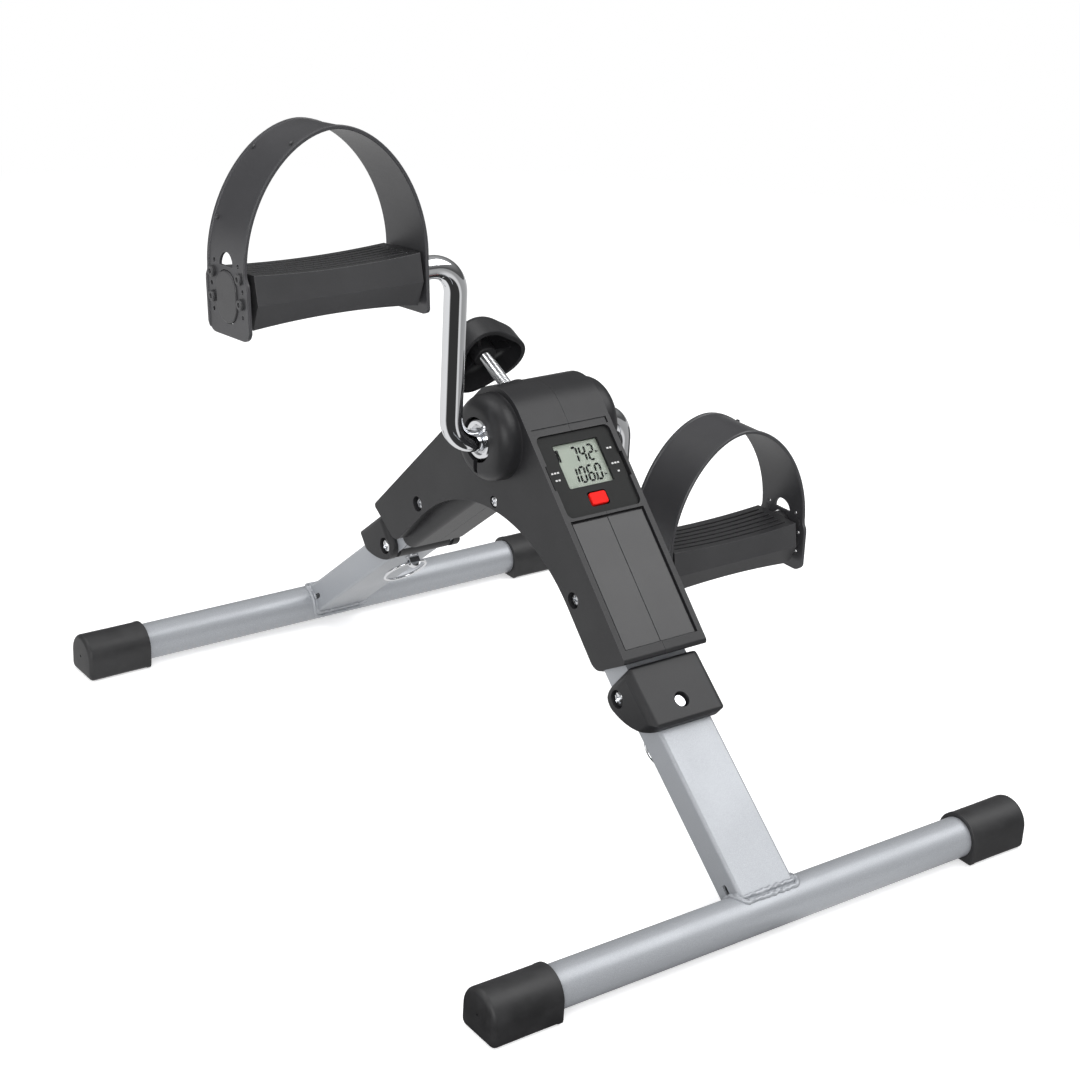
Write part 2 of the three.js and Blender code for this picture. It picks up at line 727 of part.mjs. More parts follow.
addHinge(nearLeg, 'near', 1);
addHinge(farLeg, 'far', -1);

// ---------------------------------------------------------------- legs

// End fitting pressed into the leg: the barrel turns on the hinge bolt.
function legKnuckle() {
  const half = LEG_WIDTH / 2;
  const plug = half - TUBE_WALL - GAP;
  const neck = polygon([
    [-2.6, LEG_OUTER - 0.2], [LEG_TOP, LEG_OUTER - 0.2], [LEG_TOP, LEG_INNER],
    [0, -KNUCKLE_R + 0.2], [-KNUCKLE_R + 0.6, 0],
  ]);
  const body = join(
    rodX(KNUCKLE_R, -half, half),
    prismX(neck, -half, half),
    box(-plug, plug, 2, 34, LEG_INNER + TUBE_WALL + GAP, LEG_OUTER - TUBE_WALL - GAP),
  );
  return cut(
    body,
    rodX(HINGE_BOLT_R + GAP, -BEYOND, BEYOND, 0, 0, 24),
    rodZ(PIN_R + GAP, -BEYOND, BEYOND, 0, PIN_AT),
  );
}

// `drainSide` is the side of the drain slot in the leg's own frame.
function legTube(drainSide) {
  const half = LEG_WIDTH / 2;
  const top = LEG_TOP + GAP;
  const end = LEG_REACH - 7.5;
  const tube = cut(
    box(-half, half, top, end, LEG_INNER, LEG_OUTER),
    box(
      TUBE_WALL - half, half - TUBE_WALL, 0, end + 20,
      LEG_INNER + TUBE_WALL, LEG_OUTER - TUBE_WALL,
    ),
  );
  const drain = box(
    drainSide * half - 4, drainSide * half + 4, DRAIN_SLOT_AT - 3.5, DRAIN_SLOT_AT + 3.5, 1, 5,
  );
  return cut(
    tube,
    rodX(BASE_TUBE_R + GAP, -BEYOND, BEYOND, LEG_REACH, HINGE_INSET, 28),
    rodX(KNUCKLE_R + GAP, -BEYOND, BEYOND),
    rodZ(PIN_R + GAP, -BEYOND, BEYOND, 0, PIN_AT),
    drain,
  );
}

// Rubber end cap: round over the tube, square and flat on the floor. It opens towards -X.
function endCap() {
  const shape = new THREE.Shape();
  const foot = -BASE_AXIS_Z;
  shape.absarc(0, 0, CAP_R, 0, Math.PI);
  shape.lineTo(-CAP_R, foot + 3);
  shape.absarc(3 - CAP_R, foot + 3, 3, Math.PI, 1.5 * Math.PI);
  shape.absarc(CAP_R - 3, foot + 3, 3, 1.5 * Math.PI, 2 * Math.PI);
  const end = BASE_LENGTH / 2;
  return cut(
    prismX(shape, end - CAP_LENGTH, end, 1.2),
    rodX(BASE_TUBE_R + GAP, end - CAP_LENGTH - 5, end - CAP_WALL),
  );
}

function addBase(end, sign) {
  const base = framed(new THREE.Matrix4().makeTranslation(
    0, sign * BASE_HALF_SPACING, BASE_AXIS_Z,
  ));
  const half = BASE_LENGTH / 2 - CAP_WALL - GAP;
  add(base, `${end}_base_tube`, ringX(BASE_TUBE_R, BASE_TUBE_R - TUBE_WALL, -half, half),
    SILVER_PAINT);
  add(base, `${end}_left_cap`, endCap().rotateZ(Math.PI), RUBBER);
  add(base, `${end}_right_cap`, endCap(), RUBBER);
  model.add(base);
}

function addLeg(parent, end, drainSide) {
  add(parent, `${end}_leg_tube`, legTube(drainSide), SILVER_PAINT);
  add(parent, `${end}_leg_knuckle`, legKnuckle(), HINGE_PLASTIC);
}

addLeg(nearLeg, 'near', 1);
addLeg(farLeg, 'far', -1);
addBase('near', -1);
addBase('far', 1);

// ---------------------------------------------------------------- lock pins and rings

function lockPin() {
  const eyeHalf = 2.5;
  const shank = rodZ(PIN_R, -8, PIN_TIP, 0, PIN_AT, 20);
  const eye = common(
    rodZ(PIN_R, PIN_END, -7, 0, PIN_AT, 20),
    box(-PIN_R, PIN_R, PIN_AT - eyeHalf, PIN_AT + eyeHalf, PIN_END, -7),
  );
  return cut(join(shank, eye), rodX(1.9, -10, 10, PIN_AT, PIN_EYE, 14));
}

// The ring hangs from the eye, its middle one radius away along `hang`.
function pullRing() {
  const slant = LEG_SLOPE - (Math.PI / 2 - RING_HANG);
  return new THREE.TorusGeometry(RING_R, RING_WIRE_R, 5, 24)
    .translate(0, RING_R, 0)
    .rotateX(slant)
    .translate(0, PIN_AT, PIN_EYE);
}

add(nearLeg, 'near_lock_pin', lockPin(), CHROME);
add(farLeg, 'far_lock_pin', lockPin(), CHROME);
add(nearLeg, 'near_pull_ring', pullRing(), CHROME);
add(farLeg, 'far_pull_ring', pullRing(), CHROME);

// ---------------------------------------------------------------- axle and bearings

function crankAxle() {
  return cut(
    rodX(AXLE_R, -AXLE_HALF, AXLE_HALF),
    rodX(CRANK_R + GAP, CRANK_TAIL_X - 1, BEYOND),
    rodX(CRANK_R + GAP, -BEYOND, 1 - CRANK_TAIL_X),
    crossHole(CRANK_BOLT_X),
    crossHole(-CRANK_BOLT_X),
  );
}

const crossHole = (x) =>
  new THREE.CylinderGeometry(CROSS_HOLE_R, CROSS_HOLE_R, BEYOND, 12).translate(x, 0, 0);

function bearingBush(side) {
  const bush = cut(
    join(
      rodX(BEARING_BORE_R - GAP, 8.5, BEARING_HALF + 1),
      rodX(BEARING_TUBE_R, BEARING_HALF + GAP, BEARING_HALF + 2.4),
    ),
    rodX(AXLE_R + GAP, 0, 40),
  );
  return side < 0 ? bush.rotateZ(Math.PI) : bush;
}

add(axle, 'left_bearing_bush', bearingBush(-1), NYLON);
add(axle, 'right_bearing_bush', bearingBush(1), NYLON);
add(axle, 'crank_axle', crankAxle(), STEEL);
add(axle, 'brake_drum', ringX(BRAKE_DRUM_R, AXLE_R + GAP, -BRAKE_DRUM_HALF, BRAKE_DRUM_HALF),
  NYLON);
add(axle, 'speed_magnet', ringX(MAGNET_R, AXLE_R + GAP, 23.4, 26.6), NYLON);
add(axle, 'left_thrust_washer', ringX(WASHER_R, AXLE_R + GAP, -WASHER_OUT_X, -WASHER_IN_X), CHROME);
add(axle, 'right_thrust_washer', ringX(WASHER_R, AXLE_R + GAP, WASHER_IN_X, WASHER_OUT_X), CHROME);

// ---------------------------------------------------------------- cranks

// Z-bent rod on the +X side, arm pointing along +Z.
function crank() {
  const rod = bentRod(CRANK_R, [
    [CRANK_TAIL_X, 0, 0],
    [CRANK_ARM_X, 0, 0],
    [CRANK_ARM_X, 0, CRANK_ARM],
    [SPINDLE_SHOULDER_X, 0, CRANK_ARM],
  ], CRANK_BEND_R, 16);
  const spindle = rodX(SPINDLE_R, SPINDLE_SHOULDER_X - 3, SPINDLE_END_X, 0, CRANK_ARM, 20);
  return cut(join(rod, spindle), crossHole(CRANK_BOLT_X));
}

// Bolt through axle and crank: head towards -Y, nut towards +Y.
function crossBolt(x) {
  const points = [
    [-AXLE_R - 4.2, 0], [-AXLE_R - 4.2, CROSS_BOLT_R], [AXLE_R + GAP, CROSS_BOLT_R],
    [AXLE_R + GAP, CROSS_HEAD_R], [AXLE_R + 2, CROSS_HEAD_R], [AXLE_R + 3.2, 3.4],
    [AXLE_R + 3.2, 0],
  ];
  return turnedX(points, 12).rotateZ(-Math.PI / 2).translate(x, 0, 0);
}

const crossNut = (x) =>
  hexNut(8.4, CROSS_HOLE_R, AXLE_R + GAP, AXLE_R + 3.6).rotateZ(Math.PI / 2).translate(x, 0, 0);

// Push-on clip that holds a pedal on its spindle.
const spindleClip = () => ringX(8.2, SPINDLE_R + 0.2, 204.2, 205.4, 0, CRANK_ARM);

const leftCrank = framed(HALF_TURN);
const rightCrank = framed(new THREE.Matrix4().makeRotationX(Math.PI));
axle.add(leftCrank, rightCrank);
add(leftCrank, 'left_crank', crank(), CHROME);
add(rightCrank, 'right_crank', crank(), CHROME);
add(leftCrank, 'left_spindle_clip', spindleClip(), STEEL);
add(rightCrank, 'right_spindle_clip', spindleClip(), STEEL);
add(axle, 'left_crank_bolt', crossBolt(-CRANK_BOLT_X), CHROME);
add(axle, 'right_crank_bolt', crossBolt(CRANK_BOLT_X), CHROME);
add(axle, 'left_crank_nut', crossNut(-CRANK_BOLT_X), STEEL);
add(axle, 'right_crank_nut', crossNut(CRANK_BOLT_X), STEEL);

// ---------------------------------------------------------------- pedals

// Everything about a pedal is drawn on the +X side, about its own spindle.
const PEDAL_MID_X = (PEDAL_IN_X + PEDAL_OUT_X) / 2;

// Side view in the plane of the spindle: dished tread above, arched underside.
function pedalLengthwise() {
  const shape = new THREE.Shape();
  const half = (PEDAL_OUT_X - PEDAL_IN_X) / 2;
  shape.moveTo(-half, PEDAL_BOTTOM);
  shape.quadraticCurveTo(0, PEDAL_BOTTOM + 2 * PEDAL_ARCH, half, PEDAL_BOTTOM);
  shape.lineTo(half, PEDAL_TOP);
  shape.quadraticCurveTo(0, PEDAL_TOP - 2 * PEDAL_DISH, -half, PEDAL_TOP);
  return new THREE.ExtrudeGeometry(shape, { depth: 60, bevelEnabled: false, curveSegments: 8 })
    .rotateX(Math.PI / 2)
    .translate(PEDAL_MID_X, 30, 0);
}

function pedalCrosswise() {
  return prismX(polygon([
    [-PEDAL_BOTTOM_HALF, PEDAL_BOTTOM], [PEDAL_BOTTOM_HALF, PEDAL_BOTTOM],
    [PEDAL_HALF, PEDAL_WAIST], [PEDAL_HALF, PEDAL_TOP],
    [-PEDAL_HALF, PEDAL_TOP], [-PEDAL_HALF, PEDAL_WAIST],
  ]), PEDAL_IN_X, PEDAL_OUT_X);
}

function pedalBody() {
  const pitch = (2 * PEDAL_HALF) / RIB_COUNT;
  const grooves = [];
  for (let i = 1; i < RIB_COUNT; i += 1) {
    const y = i * pitch - PEDAL_HALF;
    grooves.push(box(
      PEDAL_IN_X + RIB_END, PEDAL_OUT_X - RIB_END, y - RIB_GROOVE_HALF, y + RIB_GROOVE_HALF,
      PEDAL_TOP - RIB_DEPTH, BEYOND,
    ));
  }
  return cut(
    join(common(pedalLengthwise(), pedalCrosswise()),
      rodX(PEDAL_BOSS_R, PEDAL_OUT_X - 2, PEDAL_OUT_X + 4)),
    rodX(SPINDLE_R + GAP, 90, 230, 0, 0, 24),
    rodX(PEDAL_CAP_R + GAP, PEDAL_OUT_X - 5, 230, 0, 0, 28),
    ...grooves,
  );
}

function strapOutline(offset) {
  const half = (PEDAL_OUT_X - PEDAL_IN_X) / 2 + GAP + offset;
  const foot = offset > 0 ? STRAP_FOOT : STRAP_FOOT - 10;
  const shape = new THREE.Shape();
  shape.moveTo(half, foot);
  shape.lineTo(half, STRAP_SPRING_Z);
  shape.absarc(0, STRAP_SPRING_Z, half, 0, Math.PI);
  shape.lineTo(-half, foot);
  return shape;
}

function strapPrism(offset, halfWidth) {
  return new THREE.ExtrudeGeometry(strapOutline(offset), {
    depth: 2 * halfWidth, bevelEnabled: false, curveSegments: 12,
  }).rotateX(Math.PI / 2).translate(PEDAL_MID_X, halfWidth, 0);
}

function pedalStrap() {
  const archHole = new THREE.Shape();
  archHole.absarc(0, STRAP_HOLE_Z, STRAP_HOLE_R, 0, Math.PI);
  const corner = STRAP_HALF_WIDTH - STRAP_CORNER_R;
  const footZ = STRAP_FOOT + STRAP_CORNER_R;
  const footCorner = (side) => cut(
    box(90, 220, side > 0 ? corner : -30, side > 0 ? 30 : -corner, -30, footZ),
    rodX(STRAP_CORNER_R, 80, 230, side * corner, footZ, 20),
  );
  return cut(
    strapPrism(STRAP_THICK, STRAP_HALF_WIDTH),
    strapPrism(0, 40),
    rodX(CRANK_R + 0.8, 90, PEDAL_MID_X),
    rodX(PEDAL_BOSS_R + GAP, PEDAL_MID_X, 230),
    prismX(archHole, PEDAL_MID_X, 230),
    footCorner(1),
    footCorner(-1),
  );
}

const pedalCap = () => turnedX([
  [PEDAL_OUT_X, 0], [PEDAL_OUT_X, PEDAL_CAP_R], [PEDAL_OUT_X + 4, PEDAL_CAP_R],
  [PEDAL_OUT_X + 4.8, PEDAL_CAP_R - 1.7],
  [PEDAL_OUT_X + 4.8, 0],
], 28);

function addPedal(name, matrix) {
  const pedal = framed(matrix);
  axle.add(pedal);
  add(pedal, `${name}_pedal_body`, pedalBody(), PEDAL_PLASTIC);
  add(pedal, `${name}_pedal_strap`, pedalStrap(), RUBBER);
  add(pedal, `${name}_pedal_cap`, pedalCap(), PEDAL_PLASTIC);
}

addPedal('left', new THREE.Matrix4().makeTranslation(0, 0, CRANK_ARM)
  .multiply(new THREE.Matrix4().makeRotationX(LEFT_PEDAL_TILT))
  .multiply(HALF_TURN));
addPedal('right', new THREE.Matrix4().makeTranslation(0, 0, -CRANK_ARM)
  .multiply(new THREE.Matrix4().makeRotationX(RIGHT_PEDAL_TILT)));

// ---------------------------------------------------------------- display

// A plate in the panel frame, from outline half sizes and the slope positions of its ends.
function plate(halfX, topT, endT, lowH, highH, radius) {
  const shape = roundedRect(halfX, (endT - topT) / 2, radius);
  return new THREE.ExtrudeGeometry(shape, {
    depth: highH - lowH, bevelEnabled: false, curveSegments: 2,
  }).translate(0, (topT + endT) / 2, lowH);
}

const MONITOR_END_T = MONITOR_TOP_T + MONITOR_LENGTH;
const MONITOR_BACK_H = MONITOR_FACE_H - MONITOR_DEPTH;
const MONITOR_INNER_H = MONITOR_FACE_H - MONITOR_FRONT;

function monitorCase() {
  const middle = (MONITOR_TOP_T + MONITOR_END_T) / 2;
  const ears = plate(MONITOR_HALF + MONITOR_EAR, middle - MONITOR_EAR_HALF,
    middle + MONITOR_EAR_HALF, MONITOR_FACE_H - 5, MONITOR_FACE_H - 0.8, 3);
  return cut(
    join(
      plate(MONITOR_HALF, MONITOR_TOP_T, MONITOR_END_T, MONITOR_BACK_H, MONITOR_FACE_H,
        MONITOR_CORNER_R),
      ears,
    ),
    plate(MONITOR_HALF - MONITOR_WALL, MONITOR_TOP_T + MONITOR_WALL,
      MONITOR_END_T - MONITOR_WALL, MONITOR_BACK_H - 1, MONITOR_INNER_H, 2),
    plate(WINDOW_HALF, WINDOW_TOP_T, WINDOW_END_T, 20, 40, 0.8),
    plate(BUTTON_HALF_X + 0.8, BUTTON_TOP_T - 0.8, BUTTON_END_T + 0.8, 20, 40, 1.6),
  );
}

add(panel, 'monitor_case', monitorCase(), SHELL_PLASTIC);
add(panel, 'lcd_lens', plate(WINDOW_HALF - GAP, WINDOW_TOP_T + GAP, WINDOW_END_T - GAP,
  MONITOR_INNER_H + 0.2, MONITOR_FACE_H - 1, 0.6), LCD);
add(panel, 'lcd_panel', plate(WINDOW_HALF + 2, WINDOW_TOP_T - 2, WINDOW_END_T + 2,
  MONITOR_INNER_H - 2.8, MONITOR_INNER_H - GAP, 0.6), LCD);
add(panel, 'monitor_board', plate(MONITOR_HALF - 3.5, MONITOR_TOP_T + 3.5,
  MONITOR_END_T - 3.5, MONITOR_INNER_H - 5.2, MONITOR_INNER_H - 3.6, 1), HINGE_PLASTIC);
add(panel, 'mode_button', plate(BUTTON_HALF_X, BUTTON_TOP_T, BUTTON_END_T, BUTTON_FOOT_H,
  MONITOR_FACE_H + BUTTON_PROUD, 1.5), RED);

// Reed switch beside the magnet ring, and its cable to the display.
add(panel, 'reed_sensor', box(-27, -20.5, -6, 6, 16.5, 22), HINGE_PLASTIC);
add(panel, 'sensor_cable', sweptRod(0.9, new THREE.CatmullRomCurve3([
  new THREE.Vector3(-23.5, 6.4, 19),
  new THREE.Vector3(-23.5, 11, 17.5),
  new THREE.Vector3(-21, 17, 11),
  new THREE.Vector3(-3, 26, 9.5),
  new THREE.Vector3(8, 30, 10),
  new THREE.Vector3(CABLE_HOLE_X, CABLE_HOLE_T, 13),
  new THREE.Vector3(CABLE_HOLE_X, CABLE_HOLE_T, 20.5),
]), 20, 6), HINGE_PLASTIC);

// ---------------------------------------------------------------- tension knob and brake

function lobed(radius, lobe) {
  const points = [];
  const count = 30;
  for (let i = 0; i < count; i += 1) {
    const turn = (i / count) * 2 * Math.PI;
    const r = radius + lobe * Math.cos(3 * turn);
    points.push([r * Math.cos(turn), r * Math.sin(turn)]);
  }
  return polygon(points);
}

// Hollow three-lobed knob, open towards the housing.
function tensionKnob() {
  const top = KNOB_FACE + KNOB_DEPTH;
  const crown = 3.5;
  const body = new THREE.ExtrudeGeometry(lobed(KNOB_R, KNOB_LOBE), {
    depth: KNOB_DEPTH - crown,
    bevelEnabled: true,
    bevelThickness: crown,
    bevelSize: crown,
    bevelOffset: -crown,
    bevelSegments: 1,
  }).translate(0, 0, KNOB_FACE);
  const trimmed = cut(body, box(-50, 50, -50, 50, KNOB_FACE - 20, KNOB_FACE));
  const hollow = new THREE.ExtrudeGeometry(lobed(KNOB_R - KNOB_WALL, KNOB_LOBE), {
    depth: KNOB_DEPTH, bevelEnabled: false,
  }).translate(0, 0, top - KNOB_WALL - 1 - KNOB_DEPTH);
  const hub = rodZ(KNOB_HUB_R, KNOB_FACE + 4, top - KNOB_WALL);
  return cut(join(cut(trimmed, hollow), hub), rodZ(SCREW_R + GAP, KNOB_FACE - 5, top - 5));
}

// Screw with a plain working end. Its inner end turns behind the brake shoe.
const tensionScrew = () => rodZ(SCREW_R, SHOE_BACK + GAP, KNOB_FACE + KNOB_DEPTH - 6, 0, 0, 24);

function brakeShoe() {
  return cut(
    box(-SHOE_HALF, SHOE_HALF, -SHOE_HALF, SHOE_HALF, SHOE_FRONT, SHOE_BACK),
    rodX(BRAKE_DRUM_R + GAP, -30, 30, 0, BRAKE_TRAVEL, 32),
  );
}

add(tension, 'tension_knob', tensionKnob(), SHELL_PLASTIC);
add(tension, 'tension_screw', tensionScrew(), CHROME);
add(tension, 'brake_shoe', brakeShoe(), NYLON);

export default model;
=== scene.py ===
import json
import math

import bpy
from mathutils import Matrix, Vector, noise


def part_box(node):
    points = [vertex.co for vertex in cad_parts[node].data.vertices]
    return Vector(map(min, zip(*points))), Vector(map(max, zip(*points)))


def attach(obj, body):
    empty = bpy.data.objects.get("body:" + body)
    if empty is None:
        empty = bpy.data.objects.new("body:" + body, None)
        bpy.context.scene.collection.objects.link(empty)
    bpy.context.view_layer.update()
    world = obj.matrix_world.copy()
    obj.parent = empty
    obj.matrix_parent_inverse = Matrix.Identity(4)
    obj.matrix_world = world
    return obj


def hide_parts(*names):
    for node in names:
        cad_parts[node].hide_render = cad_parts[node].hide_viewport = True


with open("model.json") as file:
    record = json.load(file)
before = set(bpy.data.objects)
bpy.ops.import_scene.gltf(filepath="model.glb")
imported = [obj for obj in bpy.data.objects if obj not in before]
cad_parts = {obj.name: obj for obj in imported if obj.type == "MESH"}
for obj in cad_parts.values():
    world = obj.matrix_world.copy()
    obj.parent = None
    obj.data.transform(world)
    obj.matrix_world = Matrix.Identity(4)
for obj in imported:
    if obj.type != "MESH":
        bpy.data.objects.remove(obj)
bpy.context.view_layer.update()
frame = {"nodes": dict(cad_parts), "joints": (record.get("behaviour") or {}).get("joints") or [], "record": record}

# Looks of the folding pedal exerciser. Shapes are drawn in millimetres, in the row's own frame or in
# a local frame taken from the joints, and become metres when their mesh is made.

MM = 0.001
JOINTS = {joint["name"]: joint for joint in frame["joints"]}
SLOTS = {row["node"]: row["material_slot"] for row in frame["record"]["subparts"]}
IDENTITY = Matrix.Identity(4)
ROOT2 = math.sqrt(2)


# ------------------------------------------------------------------ local frames, from the joints

def joint_point(name):
    return Vector(JOINTS[name]["pos_m"]) / MM


def frame_of(x_axis, y_axis, z_axis, origin):
    columns = Matrix((x_axis, y_axis, z_axis)).transposed().to_4x4()
    return Matrix.Translation(origin) @ columns


HALF_TURN = Matrix.Rotation(math.pi, 4, "Z")
RIGHT = Vector((1, 0, 0))
AXLE = joint_point("crank_spin")
AXLE_Z = AXLE.z
AT_AXLE = Matrix.Translation(AXLE)

# leg frame: origin on the hinge, Y down the leg, Z out through its outer face
LEG_OUT = -Vector(JOINTS["far_pin_pull"]["axis"]).normalized()
FAR_LEG = frame_of(RIGHT, LEG_OUT.cross(RIGHT), LEG_OUT, joint_point("far_leg_fold"))
NEAR_LEG = HALF_TURN @ FAR_LEG

# panel frame: origin on the axle, Y down the near slope, Z out of it
NEAR_PANEL = frame_of(-RIGHT, Vector((0, -1, -1)).normalized(), Vector((0, -1, 1)).normalized(), AXLE)
FAR_PANEL = AT_AXLE @ HALF_TURN @ AT_AXLE.inverted() @ NEAR_PANEL

# tension frame: origin on the axle, Z out along the tension screw
SCREW_OUT = -Vector(JOINTS["knob_turn"]["axis"]).normalized()
TENSION = frame_of(RIGHT, SCREW_OUT.cross(RIGHT), SCREW_OUT, AXLE)


def cad_box(node):
    low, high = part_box(node)
    return low / MM, high / MM


# ------------------------------------------------------------------ meshes

def make(name, points, faces):
    mesh = bpy.data.meshes.new(name)
    mesh.from_pydata([Vector(point) * MM for point in points], [], faces)
    mesh.validate()
    obj = bpy.data.objects.new(name, mesh)
    bpy.context.scene.collection.objects.link(obj)
    return obj


def place(obj, matrix):
    """Moves the mesh itself, so that the object stays at the origin."""
    metres = matrix.copy()
    metres.translation = metres.translation * MM
    obj.data.transform(metres)
    if metres.determinant() < 0:
        obj.data.flip_normals()
    return obj


def arc(cx, cy, radius, start, end, steps=12):
    """Points round an arc, from start to end degrees."""
    points = []
    for i in range(steps + 1):
        angle = math.radians(start + (end - start) * i / steps)
        points.append((cx + radius * math.cos(angle), cy + radius * math.sin(angle)))
    return points


def rounded_box(half_a, half_b, radius, steps=6):
    a, b = half_a - radius, half_b - radius
    points = arc(a, b, radius, 0, 90, steps)
    points += arc(-a, b, radius, 90, 180, steps)
    points += arc(-a, -b, radius, 180, 270, steps)
    return points + arc(a, -b, radius, 270, 360, steps)


def shifted(outline, da, db):
    return [(a + da, b + db) for a, b in outline]


# where outline coordinates a, b and the extrusion length go
AXES = {
    "X": lambda a, b, h: (h, a, b),
    "Y": lambda a, b, h: (-a, h, b),
    "Z": lambda a, b, h: (a, b, h),
}


def prism(outline, low, high, axis="X", matrix=IDENTITY):
    """A counter-clockwise outline, extruded along an axis."""
    to_3d = AXES[axis]
    count = len(outline)
    points = [to_3d(a, b, low) for a, b in outline] + [to_3d(a, b, high) for a, b in outline]
    faces = [tuple(range(count))[::-1], tuple(range(count, 2 * count))]
    for i in range(count):
        j = (i + 1) % count
        faces.append((i, j, j + count, i + count))
    return place(make("prism", points, faces), matrix)


def block(x, y, z, matrix=IDENTITY):
    outline = [(x[0], y[0]), (x[1], y[0]), (x[1], y[1]), (x[0], y[1])]
    return prism(outline, z[0], z[1], "Z", matrix)


def turned(profile, matrix=IDENTITY, segments=48, ring=False):
    """Body of revolution about Z from (height, radius) points, bottom to top, or a closed ring."""
    points, rows = [], []
    for height, radius in profile:
        if radius < 1e-6:
            rows.append([len(points)] * segments)
            points.append((0, 0, height))
            continue
        rows.append(list(range(len(points), len(points) + segments)))
        for i in range(segments):
            angle = 2 * math.pi * i / segments
            points.append((radius * math.cos(angle), radius * math.sin(angle), height))
    faces = []
    pairs = list(zip(rows, rows[1:] + rows[:1])) if ring else list(zip(rows, rows[1:]))
    for lower, upper in pairs:
        for i in range(segments):
            j = (i + 1) % segments
            corners = []
            for corner in (lower[i], lower[j], upper[j], upper[i]):
                if corner not in corners:
                    corners.append(corner)
            if len(corners) > 2:
                faces.append(corners)
    return place(make("turned", points, faces), matrix)


Z_TO_X = Matrix.Rotation(math.pi / 2, 4, "Y")
Z_TO_NEGATIVE_X = Matrix.Rotation(-math.pi / 2, 4, "Y")


def facing(side):
    """Turns the Z axis to the side, 1 for +X and -1 for -X."""
    return Z_TO_X if side > 0 else Z_TO_NEGATIVE_X


def rod(radius, low, high, matrix=IDENTITY, segments=40):
    return turned([(low, 0), (low, radius), (high, radius), (high, 0)], matrix, segments)


def rod_x(radius, low, high, y=0, z=0, segments=40):
    return rod(radius, low, high, Matrix.Translation((0, y, z)) @ Z_TO_X, segments)


def loft(rings, closed=False):
    """A skin over rings of equally many points, with flat ends unless it closes on itself."""
    count, size = len(rings), len(rings[0])
    faces = []
    for i in range(count if closed else count - 1):
        row, following = i * size, (i + 1) % count * size
        for k in range(size):
            m = (k + 1) % size
            faces.append((row + k, row + m, following + m, following + k))
    if not closed:
        faces.append(tuple(range(size))[::-1])
        faces.append(tuple(range((count - 1) * size, count * size)))
    return make("loft", [point for ring in rings for point in ring], faces)


def sweep(path, section, closed=False, matrix=IDENTITY):
    """Carries a section of (sideways, upwards) points along a path, turning as little as it can."""
    path = [Vector(point) for point in path]
    count = len(path)
    rings = []
    normal = None
    for i, point in enumerate(path):
        before = path[(i - 1) % count] if closed or i > 0 else point
        after = path[(i + 1) % count] if closed or i < count - 1 else point
        tangent = (after - before).normalized()
        if normal is None:
            normal = tangent.orthogonal().normalized()
        normal = (normal - tangent * normal.dot(tangent)).normalized()
        side = tangent.cross(normal)
        rings.append([point + normal * u + side * v for u, v in section])
    return place(loft(rings, closed), matrix)


def circle(radius, steps=24):
    return arc(0, 0, radius, 0, 360 - 360 / steps, steps - 1)


def bent_path(corners, radius, steps=14):
    """A path through corners, each corner rounded to a radius."""
    corners = [Vector(corner) for corner in corners]
    path = [corners[0]]
    for before, corner, after in zip(corners, corners[1:], corners[2:]):
        come, go = (corner - before).normalized(), (after - corner).normalized()
        turn = come.angle(go)
        start = corner - come * radius * math.tan(turn / 2)
        inward = (go - come * come.dot(go)).normalized()
        for k in range(steps + 1):
            angle = turn * k / steps
            path.append(start + come * radius * math.sin(angle) + inward * radius * (1 - math.cos(angle)))
    return path + [corners[-1]]


# ------------------------------------------------------------------ modifiers

def bake(obj):
    """Applies every modifier."""
    graph = bpy.context.evaluated_depsgraph_get()
    mesh = bpy.data.meshes.new_from_object(obj.evaluated_get(graph))
    obj.modifiers.clear()
    obj.data = mesh
    return obj


def combine(body, tools, operation):
    for tool in tools:
        modifier = body.modifiers.new("combine", "BOOLEAN")
        modifier.operation = operation
        modifier.solver = "MANIFOLD"
        modifier.object = tool
        bake(body)
        bpy.data.objects.remove(tool)
    return body


def cut(body, *tools):
    return combine(body, tools, "DIFFERENCE")


def join(body, *tools):
    return combine(body, tools, "UNION")


def common(body, *tools):
    return combine(body, tools, "INTERSECT")


def soften(obj, width, segments=3, angle=32):
    modifier = obj.modifiers.new("soften", "BEVEL")
    modifier.width = width * MM
    modifier.segments = segments
    modifier.limit_method = "ANGLE"
    modifier.angle_limit = math.radians(angle)
    modifier.use_clamp_overlap = True
    return bake(obj)


def weld(obj, distance=0.02):
    """Merges points closer than a distance, which tidies the edges that a cut leaves."""
    modifier = obj.modifiers.new("weld", "WELD")
    modifier.merge_threshold = distance * MM
    return bake(obj)


def bevel_cad(node, width, segments=2):
    """Rounds the edges of a carried-over CAD node with a live modifier; its mesh stays as it is."""
    modifier = frame["nodes"][node].modifiers.new("edges", "BEVEL")
    modifier.width = width * MM
    modifier.segments = segments
    modifier.limit_method = "ANGLE"
    modifier.angle_limit = math.radians(40)


def shade(obj, angle=38):
    mesh = obj.data
    mesh.polygons.foreach_set("use_smooth", [True] * len(mesh.polygons))
    mesh.set_sharp_from_angle(angle=math.radians(angle))
    modifier = obj.modifiers.new("normals", "WEIGHTED_NORMAL")
    modifier.keep_sharp = True
    return obj


def piece(obj, name, body, material, slot, *nodes, angle=38):
    """Names a finished mesh, gives it its material, and hands it to the CAD body it moves with."""
    obj.name = name
    obj.data.name = name
    obj.data.materials.clear()
    obj.data.materials.append(material)
    shade(obj, angle)
    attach(obj, body)
    if nodes:
        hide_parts(*nodes)
    return obj


# ------------------------------------------------------------------ materials

